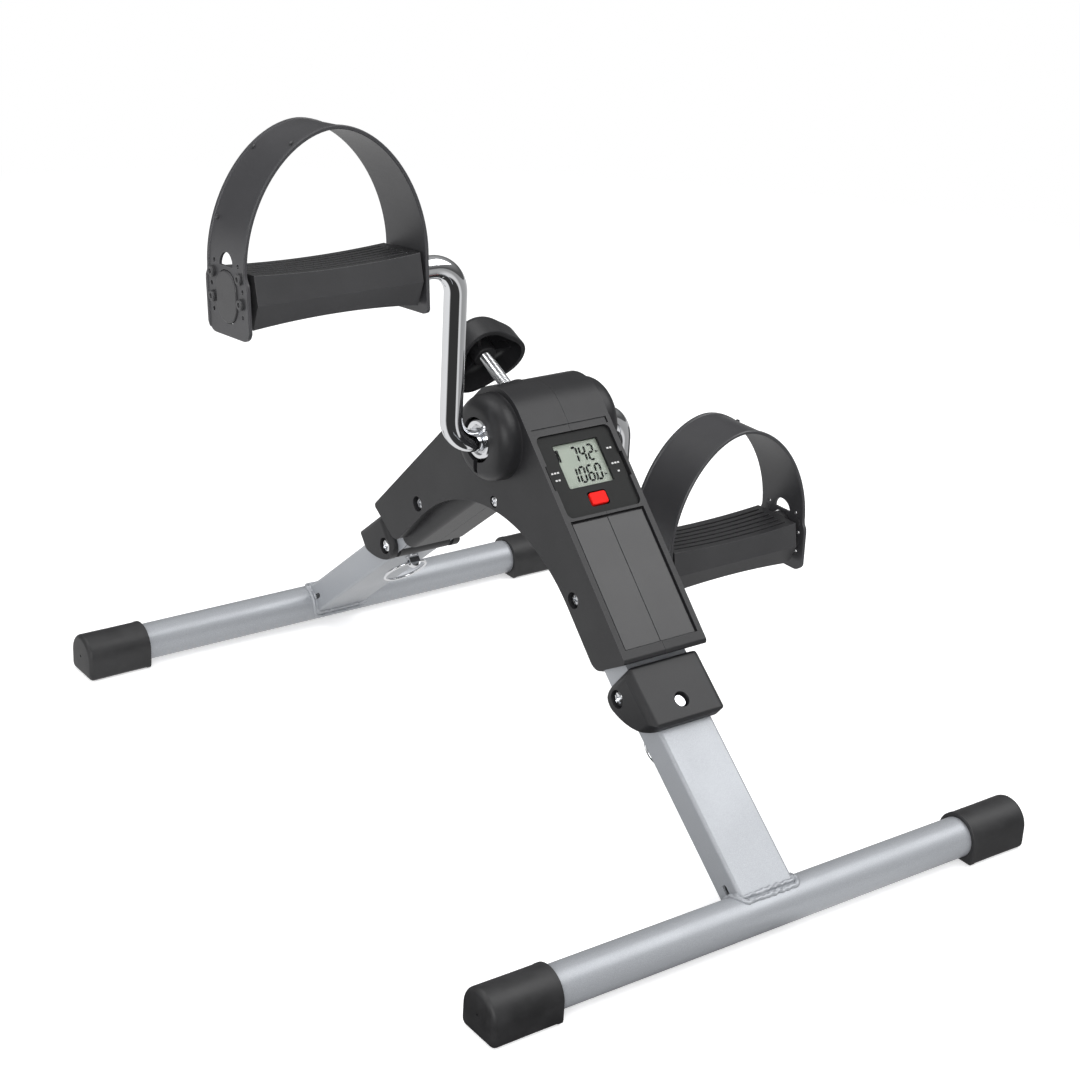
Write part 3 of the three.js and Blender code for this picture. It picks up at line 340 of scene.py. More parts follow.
class Tree:
    """The node tree of a material or world, with short calls for the nodes used here."""

    def __init__(self, owner):
        owner.use_nodes = True
        self.nodes, self.link = owner.node_tree.nodes, owner.node_tree.links.new

    def add(self, kind, operation=None):
        node = self.nodes.new("ShaderNode" + kind)
        if operation:
            node.operation = operation
        return node

    def feed(self, value, target):
        """Links an input to an output, or sets it to a plain value."""
        if isinstance(value, bpy.types.NodeSocket):
            self.link(value, target)
        else:
            target.default_value = value

    def noise(self, scale, detail=2.0, roughness=0.5):
        texture = self.add("TexNoise")
        texture.inputs["Scale"].default_value = scale
        texture.inputs["Detail"].default_value = detail
        texture.inputs["Roughness"].default_value = roughness
        self.link(self.add("TexCoord").outputs["Object"], texture.inputs["Vector"])
        return texture.outputs["Fac"]

    def ramp(self, source, low, high, low_value=0.0, high_value=1.0):
        ramp = self.add("MapRange")
        ramp.inputs["From Min"].default_value = low
        ramp.inputs["From Max"].default_value = high
        ramp.inputs["To Min"].default_value = low_value
        ramp.inputs["To Max"].default_value = high_value
        self.link(source, ramp.inputs["Value"])
        return ramp.outputs["Result"]

    def bump(self, height, strength, distance, normal=None):
        bump = self.add("Bump")
        bump.inputs["Strength"].default_value = strength
        bump.inputs["Distance"].default_value = distance * MM
        self.link(height, bump.inputs["Height"])
        if normal is not None:
            self.link(normal, bump.inputs["Normal"])
        return bump.outputs["Normal"]

    def blend(self, factor, first, second):
        """Mixes two colours; the first may be the output of another node."""
        mix = self.add("Mix")
        mix.data_type = "RGBA"
        self.feed((*first, 1) if isinstance(first, tuple) else first, mix.inputs[6])
        self.feed((*second, 1), mix.inputs[7])
        self.link(factor, mix.inputs[0])
        return mix.outputs[2]

    def maths(self, operation, first, second):
        node = self.add("Math", operation)
        self.feed(first, node.inputs[0])
        self.feed(second, node.inputs[1])
        return node.outputs[0]

    def mix(self, factor, first, second):
        mix = self.add("MixShader")
        for value, target in zip((factor, first.outputs[0], second.outputs[0]), mix.inputs):
            self.feed(value, target)
        return mix

    def by_ray(self, plain, mirrored, seen):
        """One shader for the camera, one for mirror-like surfaces, and one for all other light."""
        path = self.add("LightPath")
        indirect = self.mix(path.outputs["Is Glossy Ray"], plain, mirrored)
        return self.mix(path.outputs["Is Camera Ray"], indirect, seen)

    def edge_mask(self, radius, low, high):
        """1 along edges and 0 on faces, from how far a rounded normal leans away from the real one."""
        rounded = self.add("Bevel")
        rounded.samples = 4
        rounded.inputs["Radius"].default_value = radius * MM
        dot = self.add("VectorMath", "DOT_PRODUCT")
        self.link(rounded.outputs["Normal"], dot.inputs[0])
        self.link(self.add("NewGeometry").outputs["Normal"], dot.inputs[1])
        return self.ramp(dot.outputs["Value"], low, high, 1.0, 0.0)


class Look(Tree):
    """A material. Its principled shader's inputs are set with a number or an output."""

    def __init__(self, name):
        self.material = bpy.data.materials.new(name)
        super().__init__(self.material)
        self.shader = self.nodes["Principled BSDF"]

    def set(self, **inputs):
        for key, value in inputs.items():
            self.feed(value, self.shader.inputs[INPUTS[key]])
        return self.material


INPUTS = {
    "base": "Base Color", "roughness": "Roughness", "normal": "Normal", "metallic": "Metallic",
    "specular": "Specular IOR Level", "coat": "Coat Weight", "coat_roughness": "Coat Roughness",
    "subsurface": "Subsurface Weight", "subsurface_radius": "Subsurface Radius",
}


def scaled(colour, factor):
    return tuple(factor * c for c in colour)


def moulded(name, colour, lighter, roughness, grain=0.35, depth=0.06, edges=0.25, shine=0.5):
    """Injection-moulded plastic: fine spark grain, faint flow variation, and a painted highlight that lightens the
    colour along the edges.
    """
    look = Look(name)
    texture = look.noise(1 / (grain * MM), 3.0, 0.65)
    base = look.blend(look.ramp(look.noise(28, 4.0, 0.55), 0.35, 0.7), colour, lighter)
    # painted highlight: along the edges the base colour is blended towards a paler colour, standing in for light
    # caught on the rounded edges
    edge_highlight_mask = look.maths("MULTIPLY", look.edge_mask(0.7, 0.86, 0.99), edges)
    edge_highlight_colour = tuple(min(1, 2.6 * c + 0.01) for c in lighter)
    fine = look.bump(texture, 0.55, depth)
    return look.set(
        base=look.blend(edge_highlight_mask, base, edge_highlight_colour),
        roughness=look.ramp(texture, 0.3, 0.7, roughness - 0.06, roughness + 0.08),
        specular=shine,
        normal=look.bump(look.noise(90), 0.05, 0.4, fine),
    )


def powder_coat():
    """Silver-grey paint on steel tube: orange peel, tiny flakes, a clear satin skin."""
    look = Look("silver_paint")
    sparkle = look.ramp(look.noise(4200, 1.0), 0.4, 0.72)
    return look.set(
        base=look.blend(sparkle, (0.31, 0.325, 0.35), (0.44, 0.455, 0.48)),
        metallic=0.3,
        roughness=look.ramp(look.noise(22, 3.0), 0.3, 0.7, 0.36, 0.46),
        coat=0.2,
        coat_roughness=0.2,
        normal=look.bump(look.noise(650), 0.12, 0.12),
    )


def plated(name, colour, roughness, scratches=0.05):
    """Bright plating: nearly a mirror, with faint waviness and hairline wear."""
    look = Look(name)
    return look.set(
        base=look.blend(look.noise(35, 4.0), colour, scaled(colour, 0.93)),
        metallic=1.0,
        roughness=look.ramp(look.noise(900, 5.0, 0.7), 0.35, 0.75, roughness, roughness + scratches),
        normal=look.bump(look.noise(60, 1.0), 0.08, 0.2),
    )


def rubber():
    """Soft black rubber: dusty bloom on the faces, fine tooth."""
    look = Look("rubber")
    bloom = look.noise(55, 5.0, 0.6)
    fine = look.bump(look.noise(2200, 3.0, 0.7), 0.5, 0.05)
    return look.set(
        base=look.blend(look.ramp(bloom, 0.4, 0.75), (0.016, 0.016, 0.017), (0.03, 0.03, 0.0315)),
        roughness=look.ramp(bloom, 0.3, 0.7, 0.42, 0.58),
        normal=look.bump(look.noise(120), 0.12, 0.3, fine),
    )


def nylon():
    look = Look("nylon")
    return look.set(
        base=look.blend(look.noise(120, 3.0), (0.74, 0.71, 0.62), (0.84, 0.82, 0.74)),
        roughness=0.45,
        subsurface=0.1,
        subsurface_radius=(0.002, 0.002, 0.0016),
    )


def display_glass():
    """Grey-green reflective display with a trace of mottle and a fine tooth."""
    look = Look("display")
    return look.set(
        base=look.blend(look.noise(60), (0.3, 0.34, 0.295), (0.36, 0.4, 0.345)),
        normal=look.bump(look.noise(5200, 1.0), 0.1, 0.02),
        roughness=0.6,
        specular=0.08,
    )


def clear_window():
    """Thin clear cover with an anti-glare face: see-through, with a faint sheen."""
    look = Look("window")
    look.nodes.remove(look.shader)
    shine = look.add("BsdfGlossy")
    look.link(look.ramp(look.noise(70, 3.0), 0.3, 0.7, 0.03, 0.09), shine.inputs["Roughness"])
    fresnel = look.add("Fresnel")
    fresnel.inputs["IOR"].default_value = 1.12
    mix = look.mix(fresnel.outputs[0], look.add("BsdfTransparent"), shine)
    look.link(mix.outputs[0], look.nodes["Material Output"].inputs["Surface"])
    return look.material


def printed(name, colour, roughness):
    """Ink or liquid crystal: one colour with a trace of mottle."""
    look = Look(name)
    return look.set(
        base=look.blend(look.noise(900), colour, scaled(colour, 0.82)),
        roughness=roughness,
        specular=0.1,
    )


SILVER = powder_coat()
CHROME = plated("chrome", (0.86, 0.87, 0.89), 0.035)
STEEL = plated("zinc_steel", (0.7, 0.71, 0.73), 0.22, 0.16)
SHELL = moulded("shell_plastic", (0.016, 0.016, 0.0175), (0.021, 0.021, 0.0225), 0.4, edges=0.4, shine=0.36)
PANEL = moulded("panel_plastic", (0.024, 0.024, 0.0255), (0.03, 0.03, 0.0315), 0.36, depth=0.03)
COVER = moulded("hinge_plastic", (0.015, 0.015, 0.0165), (0.02, 0.02, 0.0215), 0.42, edges=0.4, shine=0.4)
PEDAL = moulded("pedal_plastic", (0.034, 0.034, 0.036), (0.042, 0.042, 0.044), 0.36, depth=0.04, edges=0.5)
DISPLAY_CASE = moulded("display_plastic", (0.015, 0.0155, 0.0155), (0.02, 0.0205, 0.0205), 0.5,
                       grain=0.5, depth=0.09, shine=0.14)
STRAP = moulded("strap_rubber", (0.032, 0.032, 0.035), (0.04, 0.04, 0.0435), 0.38,
                grain=0.5, depth=0.05, edges=0.5, shine=0.6)
BUTTON = moulded("button_red", (0.66, 0.009, 0.007), (0.72, 0.012, 0.009), 0.5,
                 grain=0.3, depth=0.02, edges=0.0, shine=0.12)
RUBBER = rubber()
NYLON = nylon()
DISPLAY = display_glass()
CLEAR = clear_window()
CRYSTAL = printed("crystal", (0.006, 0.007, 0.007), 0.7)
INK = printed("ink", (0.62, 0.62, 0.62), 0.6)


# ------------------------------------------------------------------ small fasteners

def phillips(radius, height, dome, head_frame, shank=None):
    """Domed cross-recess head: its seat at 0 on Z, its top towards +Z."""
    rim = height * 0.35
    profile = [(0, 0), (0, radius), (rim, radius)]
    for i in range(1, 7):
        share = i / 6
        profile.append((rim + dome * math.sin(share * math.pi / 2), radius * math.cos(share * 1.45)))
    top = rim + dome
    profile.append((top, 0))
    head = turned(profile, IDENTITY, 32)
    arm, slot = radius * 0.58, radius * 0.15
    cross = [
        (arm, -slot), (arm, slot), (slot, slot), (slot, arm), (-slot, arm), (-slot, slot),
        (-arm, slot), (-arm, -slot), (-slot, -slot), (-slot, -arm), (slot, -arm), (slot, -slot),
    ]
    cut(head, prism(cross, top - radius * 0.45, top + 1, "Z"))
    soften(head, 0.12, 1, 50)
    if shank:
        join(head, rod(shank[0], -shank[1], 0.2, IDENTITY, 20))
    return place(head, head_frame)


# ------------------------------------------------------------------ base tubes, caps, legs

TUBE_BOX = cad_box("near_base_tube")
TUBE_R = (TUBE_BOX[1].z - TUBE_BOX[0].z) / 2
TUBE_WALL = 1.5
LEG_WIDTH = 40
LEG_OUTER = 13
LEG_INNER = -7
LEG_REACH = 145.5
HINGE_INSET = 3
KNUCKLE_R = 9.3
PIN_ALONG = 17  # from the hinge, down the leg
PIN_EYE = -11.5
AT_PIN = Matrix.Translation((0, PIN_ALONG, 0))


def base_tube(node):
    """Round tube with open, deburred ends."""
    low, high = cad_box(node)
    y, z = (low.y + high.y) / 2, (low.z + high.z) / 2
    inner, break_edge = TUBE_R - TUBE_WALL, 0.4
    profile = [
        (low.x + break_edge, TUBE_R), (low.x, TUBE_R - break_edge), (low.x, inner),
        (high.x, inner), (high.x, TUBE_R - break_edge), (high.x - break_edge, TUBE_R),
    ]
    return turned(profile[::-1], Matrix.Translation((0, y, z)) @ Z_TO_X, 72, ring=True)


def end_cap(node, side):
    """Rubber foot: round above, flat-sided below, its closed end crowned and rounded."""
    low, high = cad_box(node)
    y, radius = (low.y + high.y) / 2, (high.y - low.y) / 2
    axis_z = high.z - radius
    inner_x = low.x if side > 0 else high.x
    length = high.x - low.x

    def ring_outline(inset):
        r = radius - inset
        foot = low.z + inset * (1 if inset < 3 else 0.8)
        corner = 3.0
        points = arc(0, axis_z, r, 0, 180, 28)
        points += arc(corner - r, foot + corner, corner, 180, 270, 6)
        return points + arc(r - corner, foot + corner, corner, 270, 360, 6)

    # (distance from the open end, inset of the outline)
    stations = [(0.0, 0.35), (0.35, 0.0), (2.6, 0.0), (3.4, 0.25), (20, 0.25), (length - 3.2, 0.1)]
    for i in range(1, 7):
        angle = i / 6 * math.pi / 2
        stations.append((length - 3.2 + 3.0 * math.sin(angle), 0.1 + 3.0 * (1 - math.cos(angle))))
    stations.append((length, 9.0))
    cap = loft([[(inner_x + side * distance, y + a, b) for a, b in ring_outline(inset)]
                for distance, inset in stations])
    if side < 0:
        cap.data.flip_normals()
    tube_low, tube_high = cad_box(node.split("_")[0] + "_base_tube")
    tube_z = (tube_low.z + tube_high.z) / 2
    ends = sorted((inner_x - side * 5, inner_x + side * (length - 2.5)))
    dimple = sorted((inner_x + side * (length - 0.9), inner_x + side * (length + 5)))
    return cut(
        cap,
        rod_x(TUBE_R + 0.15, ends[0], ends[1], y, tube_z, 56),
        rod_x(0.9, dimple[0], dimple[1], y, tube_z + 0.4, 16),
    )


def leg_tube(leg, drain_side):
    """Rectangular tube with rolled corners, coped round the base tube, drilled for the lock pin."""
    half = LEG_WIDTH / 2
    middle = (LEG_OUTER + LEG_INNER) / 2
    depth = (LEG_OUTER - LEG_INNER) / 2
    top, end = 5.3, LEG_REACH - 7.5
    outer = shifted(rounded_box(half, depth, 2.2, 6), 0, middle)
    inner = shifted(rounded_box(half - TUBE_WALL, depth - TUBE_WALL, 1.0, 4), 0, middle)
    tube = prism(outer, top, end, "Y")
    drain = shifted(arc(2.0, 0, 1.9, -90, 90, 10) + arc(-2.0, 0, 1.9, 90, 270, 10), 129, 3)
    low, high = sorted((drain_side * (half - 5), drain_side * (half + 5)))
    cut(
        tube,
        prism(inner, top - 3, end + 5, "Y"),
        rod_x(TUBE_R + 0.05, -60, 60, LEG_REACH, HINGE_INSET, 72),
        rod_x(KNUCKLE_R + 0.3, -60, 60, 0, 0, 48),
        rod(4.6, -40, 40, AT_PIN, 32),
        prism(drain, low, high, "X"),
    )
    return place(tube, leg)


def weld_pass(offset, radius, phase):
    """One run of weld round the foot of the leg, following the base tube."""
    half = LEG_WIDTH / 2 + offset
    middle = (LEG_OUTER + LEG_INNER) / 2 - HINGE_INSET
    depth = (LEG_OUTER - LEG_INNER) / 2 + offset
    loop = rounded_box(half, depth, 2.2 + offset, 8)
    path = []
    for (ax, an), (bx, bn) in zip(loop, loop[1:] + loop[:1]):
        steps = max(1, int(math.hypot(bx - ax, bn - an) / 0.8))
        for i in range(steps):
            share = i / steps
            x, n = ax + (bx - ax) * share, an + (bn - an) * share + middle
            reach = math.sqrt(max(0.5, (TUBE_R + 0.2) ** 2 - n * n))
            path.append((x, LEG_REACH - reach, n + HINGE_INSET))
    bead = sweep(path, circle(radius, 12), closed=True)
    away = Vector((0, -1, 0.35)).normalized()
    for vertex in bead.data.vertices:
        point = vertex.co / MM
        ripple = noise.noise(Vector((point.x * 0.35, point.y * 0.3 + phase, point.z * 0.3)))
        scallop = math.sin(point.x * 1.26 + point.z * 1.1 + phase)
        vertex.co += away * MM * (0.8 * ripple + 0.22 * scallop)
    return bead


def weld_bead(leg):
    return place(join(weld_pass(0.2, 1.5, 0.0), weld_pass(2.2, 1.4, 2.0)), leg)


def knuckle(leg):
    """Plastic end fitting: its barrel turns on the hinge bolt."""
    half = LEG_WIDTH / 2 - 0.2
    neck = [(-2.6, 12.6), (-9.0, 0), (0, -9.1), (5, LEG_INNER + 0.2), (5, 12.6)]
    body = join(
        rod_x(KNUCKLE_R, -half, half, 0, 0, 48),
        prism(neck, -half, half, "X"),
        block((2 - half, half - 2), (4, 30), (LEG_INNER + 1.9, LEG_OUTER - 1.9)),
    )
    cut(
        body,
        rod_x(4.2, -60, 60, 0, 0, 28),
        rod(4.5, -60, 60, AT_PIN, 28),
        block((-11, 11), (-3, 3.5), (8.5, 20)),
    )
    soften(body, 0.4, 2, 40)
    return place(body, leg)


def lock_pin(leg):
    """Turned plunger with a flat tip and a flattened eye for the ring."""
    radius, tip = 4.2, 18.4
    profile = [(-8, 0), (-8, radius - 0.4), (-7.6, radius), (tip - 0.7, radius), (tip - 0.2, radius - 0.25),
               (tip, radius - 0.8), (tip, 0)]
    pin = turned(profile, AT_PIN, 36)
    eye = arc(0, PIN_EYE, 3.9, 180, 360, 16) + [(3.9, -7), (-3.9, -7)]
    join(pin, prism(eye, PIN_ALONG - 2.4, PIN_ALONG + 2.4, "Y"))
    cut(pin, rod_x(1.9, -10, 10, PIN_ALONG, PIN_EYE, 20))
    soften(pin, 0.3, 2, 40)
    return place(pin, leg)


def pull_ring(node, leg):
    """Ring of round wire through the lock pin's eye."""
    low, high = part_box(node)
    local = leg.copy()
    local.translation = leg.translation * MM
    centre = local.inverted() @ ((low + high) / 2) / MM
    eye = Vector((0, PIN_ALONG, PIN_EYE))
    along = centre - eye
    along.x = 0
    radius = along.length
    along.normalize()
    path = []
    for i in range(72):
        turn = 2 * math.pi * i / 72
        path.append(eye + along * radius + RIGHT * radius * math.sin(turn) - along * radius * math.cos(turn))
    return sweep(path, circle(1.0, 14), closed=True, matrix=leg)


def build_base(end, leg, drain_side):
    body = f"{end}_leg"
    piece(base_tube(f"{end}_base_tube"), f"{end}_base_tube_look", body, SILVER, "silver_paint",
          f"{end}_base_tube")
    for side, sign in (("left", -1), ("right", 1)):
        node = f"{end}_{side}_cap"
        piece(end_cap(node, sign), f"{node}_look", body, RUBBER, "rubber", node, angle=30)
    piece(leg_tube(leg, drain_side), f"{end}_leg_tube_look", body, SILVER, "silver_paint", f"{end}_leg_tube")
    piece(weld_bead(leg), f"{end}_weld", body, SILVER, "silver_paint", angle=60)
    piece(knuckle(leg), f"{end}_knuckle_look", body, COVER, "hinge_plastic", f"{end}_leg_knuckle")
    piece(lock_pin(leg), f"{end}_lock_pin_look", f"{end}_pin", CHROME, "chrome", f"{end}_lock_pin")
    piece(pull_ring(f"{end}_pull_ring", leg), f"{end}_pull_ring_look", f"{end}_ring", CHROME, "chrome",
          f"{end}_pull_ring", angle=60)


# ------------------------------------------------------------------ hinge covers

COVER_HALF = 27.8
COVER_ROOF = 20.5
COVER_START = -10.5  # along the leg, from the hinge
COVER_END = 30
COVER_CORNER = 6.5
SKIRT = 13.5
CHANNEL_HALF = 22.4
CHANNEL_ROOF = 15.4


def cover_outline():
    """Cheek of the hinge cover, in the leg frame: [along the leg, outwards]."""
    corner = 2.6
    points = arc(corner + COVER_START, COVER_ROOF - corner, corner, 90, 180, 6)
    points += arc(0, 0, 9.5, 185, 292, 18)
    start, pull, stop = Vector((3.6, -8.8)), Vector((20, -3)), Vector((COVER_END, SKIRT))
    for i in range(1, 13):
        t = i / 12
        points.append(tuple((1 - t) ** 2 * start + 2 * t * (1 - t) * pull + t * t * stop))
    return points + arc(COVER_END - corner, COVER_ROOF - corner, corner, 0, 90, 6)


def hinge_cover(leg):
    """One-piece cover: crowned roof, rounded cheeks, a hole for the lock pin and bolt recesses."""
    edge = 5
    section = arc(COVER_HALF - edge, COVER_ROOF - edge, edge, 0, 90, 8)
    section += arc(edge - COVER_HALF, COVER_ROOF - edge, edge, 90, 180, 8)
    section += [(-COVER_HALF, -20), (COVER_HALF, -20)]
    cover = prism(cover_outline(), -COVER_HALF, COVER_HALF, "X")
    half_length, middle = (COVER_END - COVER_START) / 2, (COVER_END + COVER_START) / 2
    plan = shifted(rounded_box(COVER_HALF, half_length, COVER_CORNER, 8), 0, middle)
    common(cover, prism(section, -30, 40, "Y"), prism(plan, -30, 40, "Z"))
    inner = CHANNEL_HALF + 0.3
    cut(
        cover,
        block((-inner, inner), (-60, 27.6), (-60, CHANNEL_ROOF + 0.3)),
        block((-inner, inner), (-60, 60), (-60, SKIRT)),
        rod_x(5.8, -60, 60, 0, 0, 36),
        rod(5.0, 10, 30, AT_PIN, 40),
    )
    weld(cover)
    soften(cover, 0.8, 3, 24)
    return place(cover, leg)


def build_hinge(end, leg, head_side):
    piece(hinge_cover(leg), f"{end}_hinge_cover_look", "frame", COVER, "hinge_plastic", f"{end}_hinge_cover")
    turn = facing(head_side)
    seat = Matrix.Translation((head_side * (CHANNEL_HALF + 1.8), 0, 0))
    head = phillips(5.0, 3.0, 1.9, seat @ turn)
    shank_low, shank_high = sorted((-head_side * (CHANNEL_HALF + 4.6), head_side * (CHANNEL_HALF + 2)))
    bolt = join(head, rod_x(4.0, shank_low, shank_high, 0, 0, 32))
    piece(place(bolt, leg), f"{end}_hinge_bolt_look", "frame", CHROME, "chrome", f"{end}_hinge_bolt")


# ------------------------------------------------------------------ housing

HALF_WIDTH = 31
WALL = 2.5
DRUM_R = 31
ARCH_R = 115
ARCH_Z = 63
SEAM = 0.12
RIM = 3.0
BAND = 0.8
BOSS_R = 27
BOSS_FACE = 46
BOSS_FILLET = 9.5
SCREW_Y = 86
SCREW_Z = 151
ARCH_SCREW_Z = 183.5
BELLY_HALF = 25
BELLY_FACE = -10.3
BELLY_END = -22.0


def housing_outline(inset=0.0, past=0.0):
    """Side view; `past` carries the arms beyond their square ends."""
    drum, arch = DRUM_R - inset, ARCH_R + inset
    outer_sum = AXLE_Z + drum * ROOT2
    inner_sum = ARCH_Z + arch * ROOT2
    corner = 9 if past == 0 else 0.5
    top_corner = 2.6 if past == 0 else 0.5

    def end_point(total):
        return (total + past * ROOT2) / 2, (total - past * ROOT2) / 2

    outer_y, outer_z = end_point(outer_sum)
    inner_y, inner_z = end_point(inner_sum)
    right = arc(inner_y, inner_z + corner * ROOT2, corner, 225, 315, 12)
    right += arc(outer_y, outer_z - top_corner * ROOT2, top_corner, -45, 45, 6)
    left = [(-y, z) for y, z in right][::-1]
    points = arc(0, AXLE_Z, drum, 45, 135, 36) + left
    return points + arc(0, ARCH_Z, arch, 135, 45, 48) + right


def boss(side):
    """Rounded hub cover over one end of the axle."""
    profile = [(20, 0), (20, BOSS_R + 0.4), (31.0, BOSS_R + 0.4), (32.2, BOSS_R),
               (BOSS_FACE - BOSS_FILLET, BOSS_R)]
    for i in range(1, 13):
        turn = i / 12 * math.pi / 2
        profile.append((BOSS_FACE - BOSS_FILLET + BOSS_FILLET * math.sin(turn),
                        BOSS_R - BOSS_FILLET + BOSS_FILLET * math.cos(turn)))
    profile.append((BOSS_FACE, 0))
    return turned(profile, AT_AXLE @ facing(side), 72)


def boss_hollow(side):
    inner, face = BOSS_R - WALL, BOSS_FACE - 3
    profile = [(15, 0), (15, inner), (face - 7, inner), (face, inner - 7), (face, 0)]
    return turned(profile, AT_AXLE @ facing(side), 40)


def belly(leg, inset, end):
    """Rounded under-cover of an arm, parallel to the frame tube."""
    face, half, corner = BELLY_FACE + inset, BELLY_HALF - inset, 7 - inset
    outline = arc(half - corner, face + corner, corner, 270, 360, 8)
    outline += [(half, 5), (-half, 5)]
    outline += arc(corner - half, face + corner, corner, 180, 270, 8)
    return prism([(-a, b) for a, b in outline][::-1], -140, end, "Y", leg)


def drum_band():
    """Ring over the drum that sinks its surface below the two rims, down to the display."""
    radius, top, far_end, near_end = DRUM_R - BAND, 40, 74, 17

    def on_slope(side, height, along):
        return side * (height + along) / ROOT2, AXLE_Z + (height - along) / ROOT2

    points = [on_slope(1, radius, far_end)]
    points += arc(0, AXLE_Z, radius, 45, 135, 36)
    points += [on_slope(-1, radius, near_end), on_slope(-1, top, near_end), on_slope(1, top, far_end)]
    return prism(points[::-1], RIM - HALF_WIDTH, HALF_WIDTH - RIM, "X")


PANEL_HALF = 26.4
PANEL_DEPTH = 29.5
PANEL_START = 75
PANEL_STOP = 158
GROOVE = 0.9


def panel_cuts(panel):
    """Sinks a slope's cover panel below the rims, with a fine groove round it."""
    lower = block((-PANEL_HALF, PANEL_HALF), (PANEL_START, PANEL_STOP), (PANEL_DEPTH, 60), panel)
    groove = block((-PANEL_HALF - GROOVE, PANEL_HALF + GROOVE), (PANEL_START - GROOVE, PANEL_STOP),
                   (PANEL_DEPTH - 0.9, 60), panel)
    island = block((-PANEL_HALF, PANEL_HALF), (PANEL_START, PANEL_STOP + 5), (20, 61), panel)
    return [cut(groove, island), lower]


def panel_inlay(panel, low, high):
    """One half of the smooth plate set into a slope, up to the middle seam."""
    gap = 0.35
    plate = block((low, high), (PANEL_START + gap, PANEL_STOP - gap), (PANEL_DEPTH - 0.2, PANEL_DEPTH + 0.4))
    return place(soften(plate, 0.3, 2), panel)


MONITOR_HALF = 27.2
MONITOR_TOP = 17.8
MONITOR_LENGTH = 54.2
MONITOR_FACE = 29.3
EAR = 1.4


def monitor_pocket():
    half, top, end = MONITOR_HALF + 0.25, MONITOR_TOP - 0.25, MONITOR_TOP + MONITOR_LENGTH + 0.25
    middle = MONITOR_TOP + MONITOR_LENGTH / 2
    outline = shifted(rounded_box(half, (end - top) / 2, 4.0, 6), 0, (top + end) / 2)
    ears = block((-half - EAR, half + EAR), (middle - 8.2, middle + 8.2), (19, 60), NEAR_PANEL)
    return [prism(outline, 17, 60, "Z", NEAR_PANEL), ears]


def housing_body():
    side_inner = HALF_WIDTH - WALL
    outer = join(
        prism(housing_outline(), -HALF_WIDTH, HALF_WIDTH, "X"),
        belly(FAR_LEG, 0, BELLY_END),
        belly(NEAR_LEG, 0, BELLY_END),
    )
    cut(outer, drum_band(), *panel_cuts(NEAR_PANEL), *panel_cuts(FAR_PANEL))
    join(outer, boss(-1), boss(1), rod(10.5, 20, 33.4, TENSION, 48))
    hollow = join(
        prism(housing_outline(WALL + BAND, 12), -side_inner, side_inner, "X"),
        belly(FAR_LEG, WALL, -8),
        belly(NEAR_LEG, WALL, -8),
        boss_hollow(-1),
        boss_hollow(1),
    )
    cut(outer, hollow)
    for side in (-1, 1):
        for end in (-1, 1):
            low, high = sorted((side * 20.5, side * 30))
            join(outer, rod_x(7, low, high, end * SCREW_Y, SCREW_Z, 32))
        low, high = sorted((0, side * 30))
        join(outer, rod_x(5, low, high, 0, ARCH_SCREW_Z, 24))
    return outer


def housing_openings():
    cuts = monitor_pocket()
    cuts += [
        rod_x(14.2, -60, 60, 0, AXLE_Z, 56),
        rod(5.5, 15, 60, TENSION, 28),
        rod_x(2.1, -60, 24, 0, ARCH_SCREW_Z, 20),
        rod_x(3.9, -60, -29, 0, ARCH_SCREW_Z, 28),
    ]
    for side in (-1, 1):
        low, high = sorted((side * 42, side * 47))
        cuts.append(block((low, high), (-2, 2), (AXLE_Z - 21.5, AXLE_Z - 12)))
        for end in (-1, 1):
            low, high = sorted((side * 27, side * 40))
            cuts.append(rod_x(5.2, low, high, end * SCREW_Y, SCREW_Z, 36))
            low, high = sorted((side * 10, side * 40))
            cuts.append(rod_x(2.2, low, high, end * SCREW_Y, SCREW_Z, 20))
    return cuts


def weighted_soften(obj, width, seam_width):
    """Rounds sharp edges; the edges of the middle seam get a finer radius."""
    mesh = obj.data
    normals = {}
    for polygon in mesh.polygons:
        for key in polygon.edge_keys:
            normals.setdefault(key, []).append(polygon.normal.copy())
    weights = mesh.attributes.new("bevel_weight_edge", "FLOAT", "EDGE")
    for edge in mesh.edges:
        faces = normals.get(tuple(sorted(edge.vertices)), [])
        sharp = len(faces) == 2 and faces[0].angle(faces[1], 0) > math.radians(30)
        on_seam = all(abs(mesh.vertices[v].co.x) < 0.4 * MM for v in edge.vertices)
        weights.data[edge.index].value = (seam_width / width if on_seam else 1.0) if sharp else 0.0
    modifier = obj.modifiers.new("soften", "BEVEL")
    modifier.width = width * MM
    modifier.segments = 3
    modifier.limit_method = "WEIGHT"
    modifier.use_clamp_overlap = True
    return bake(obj)


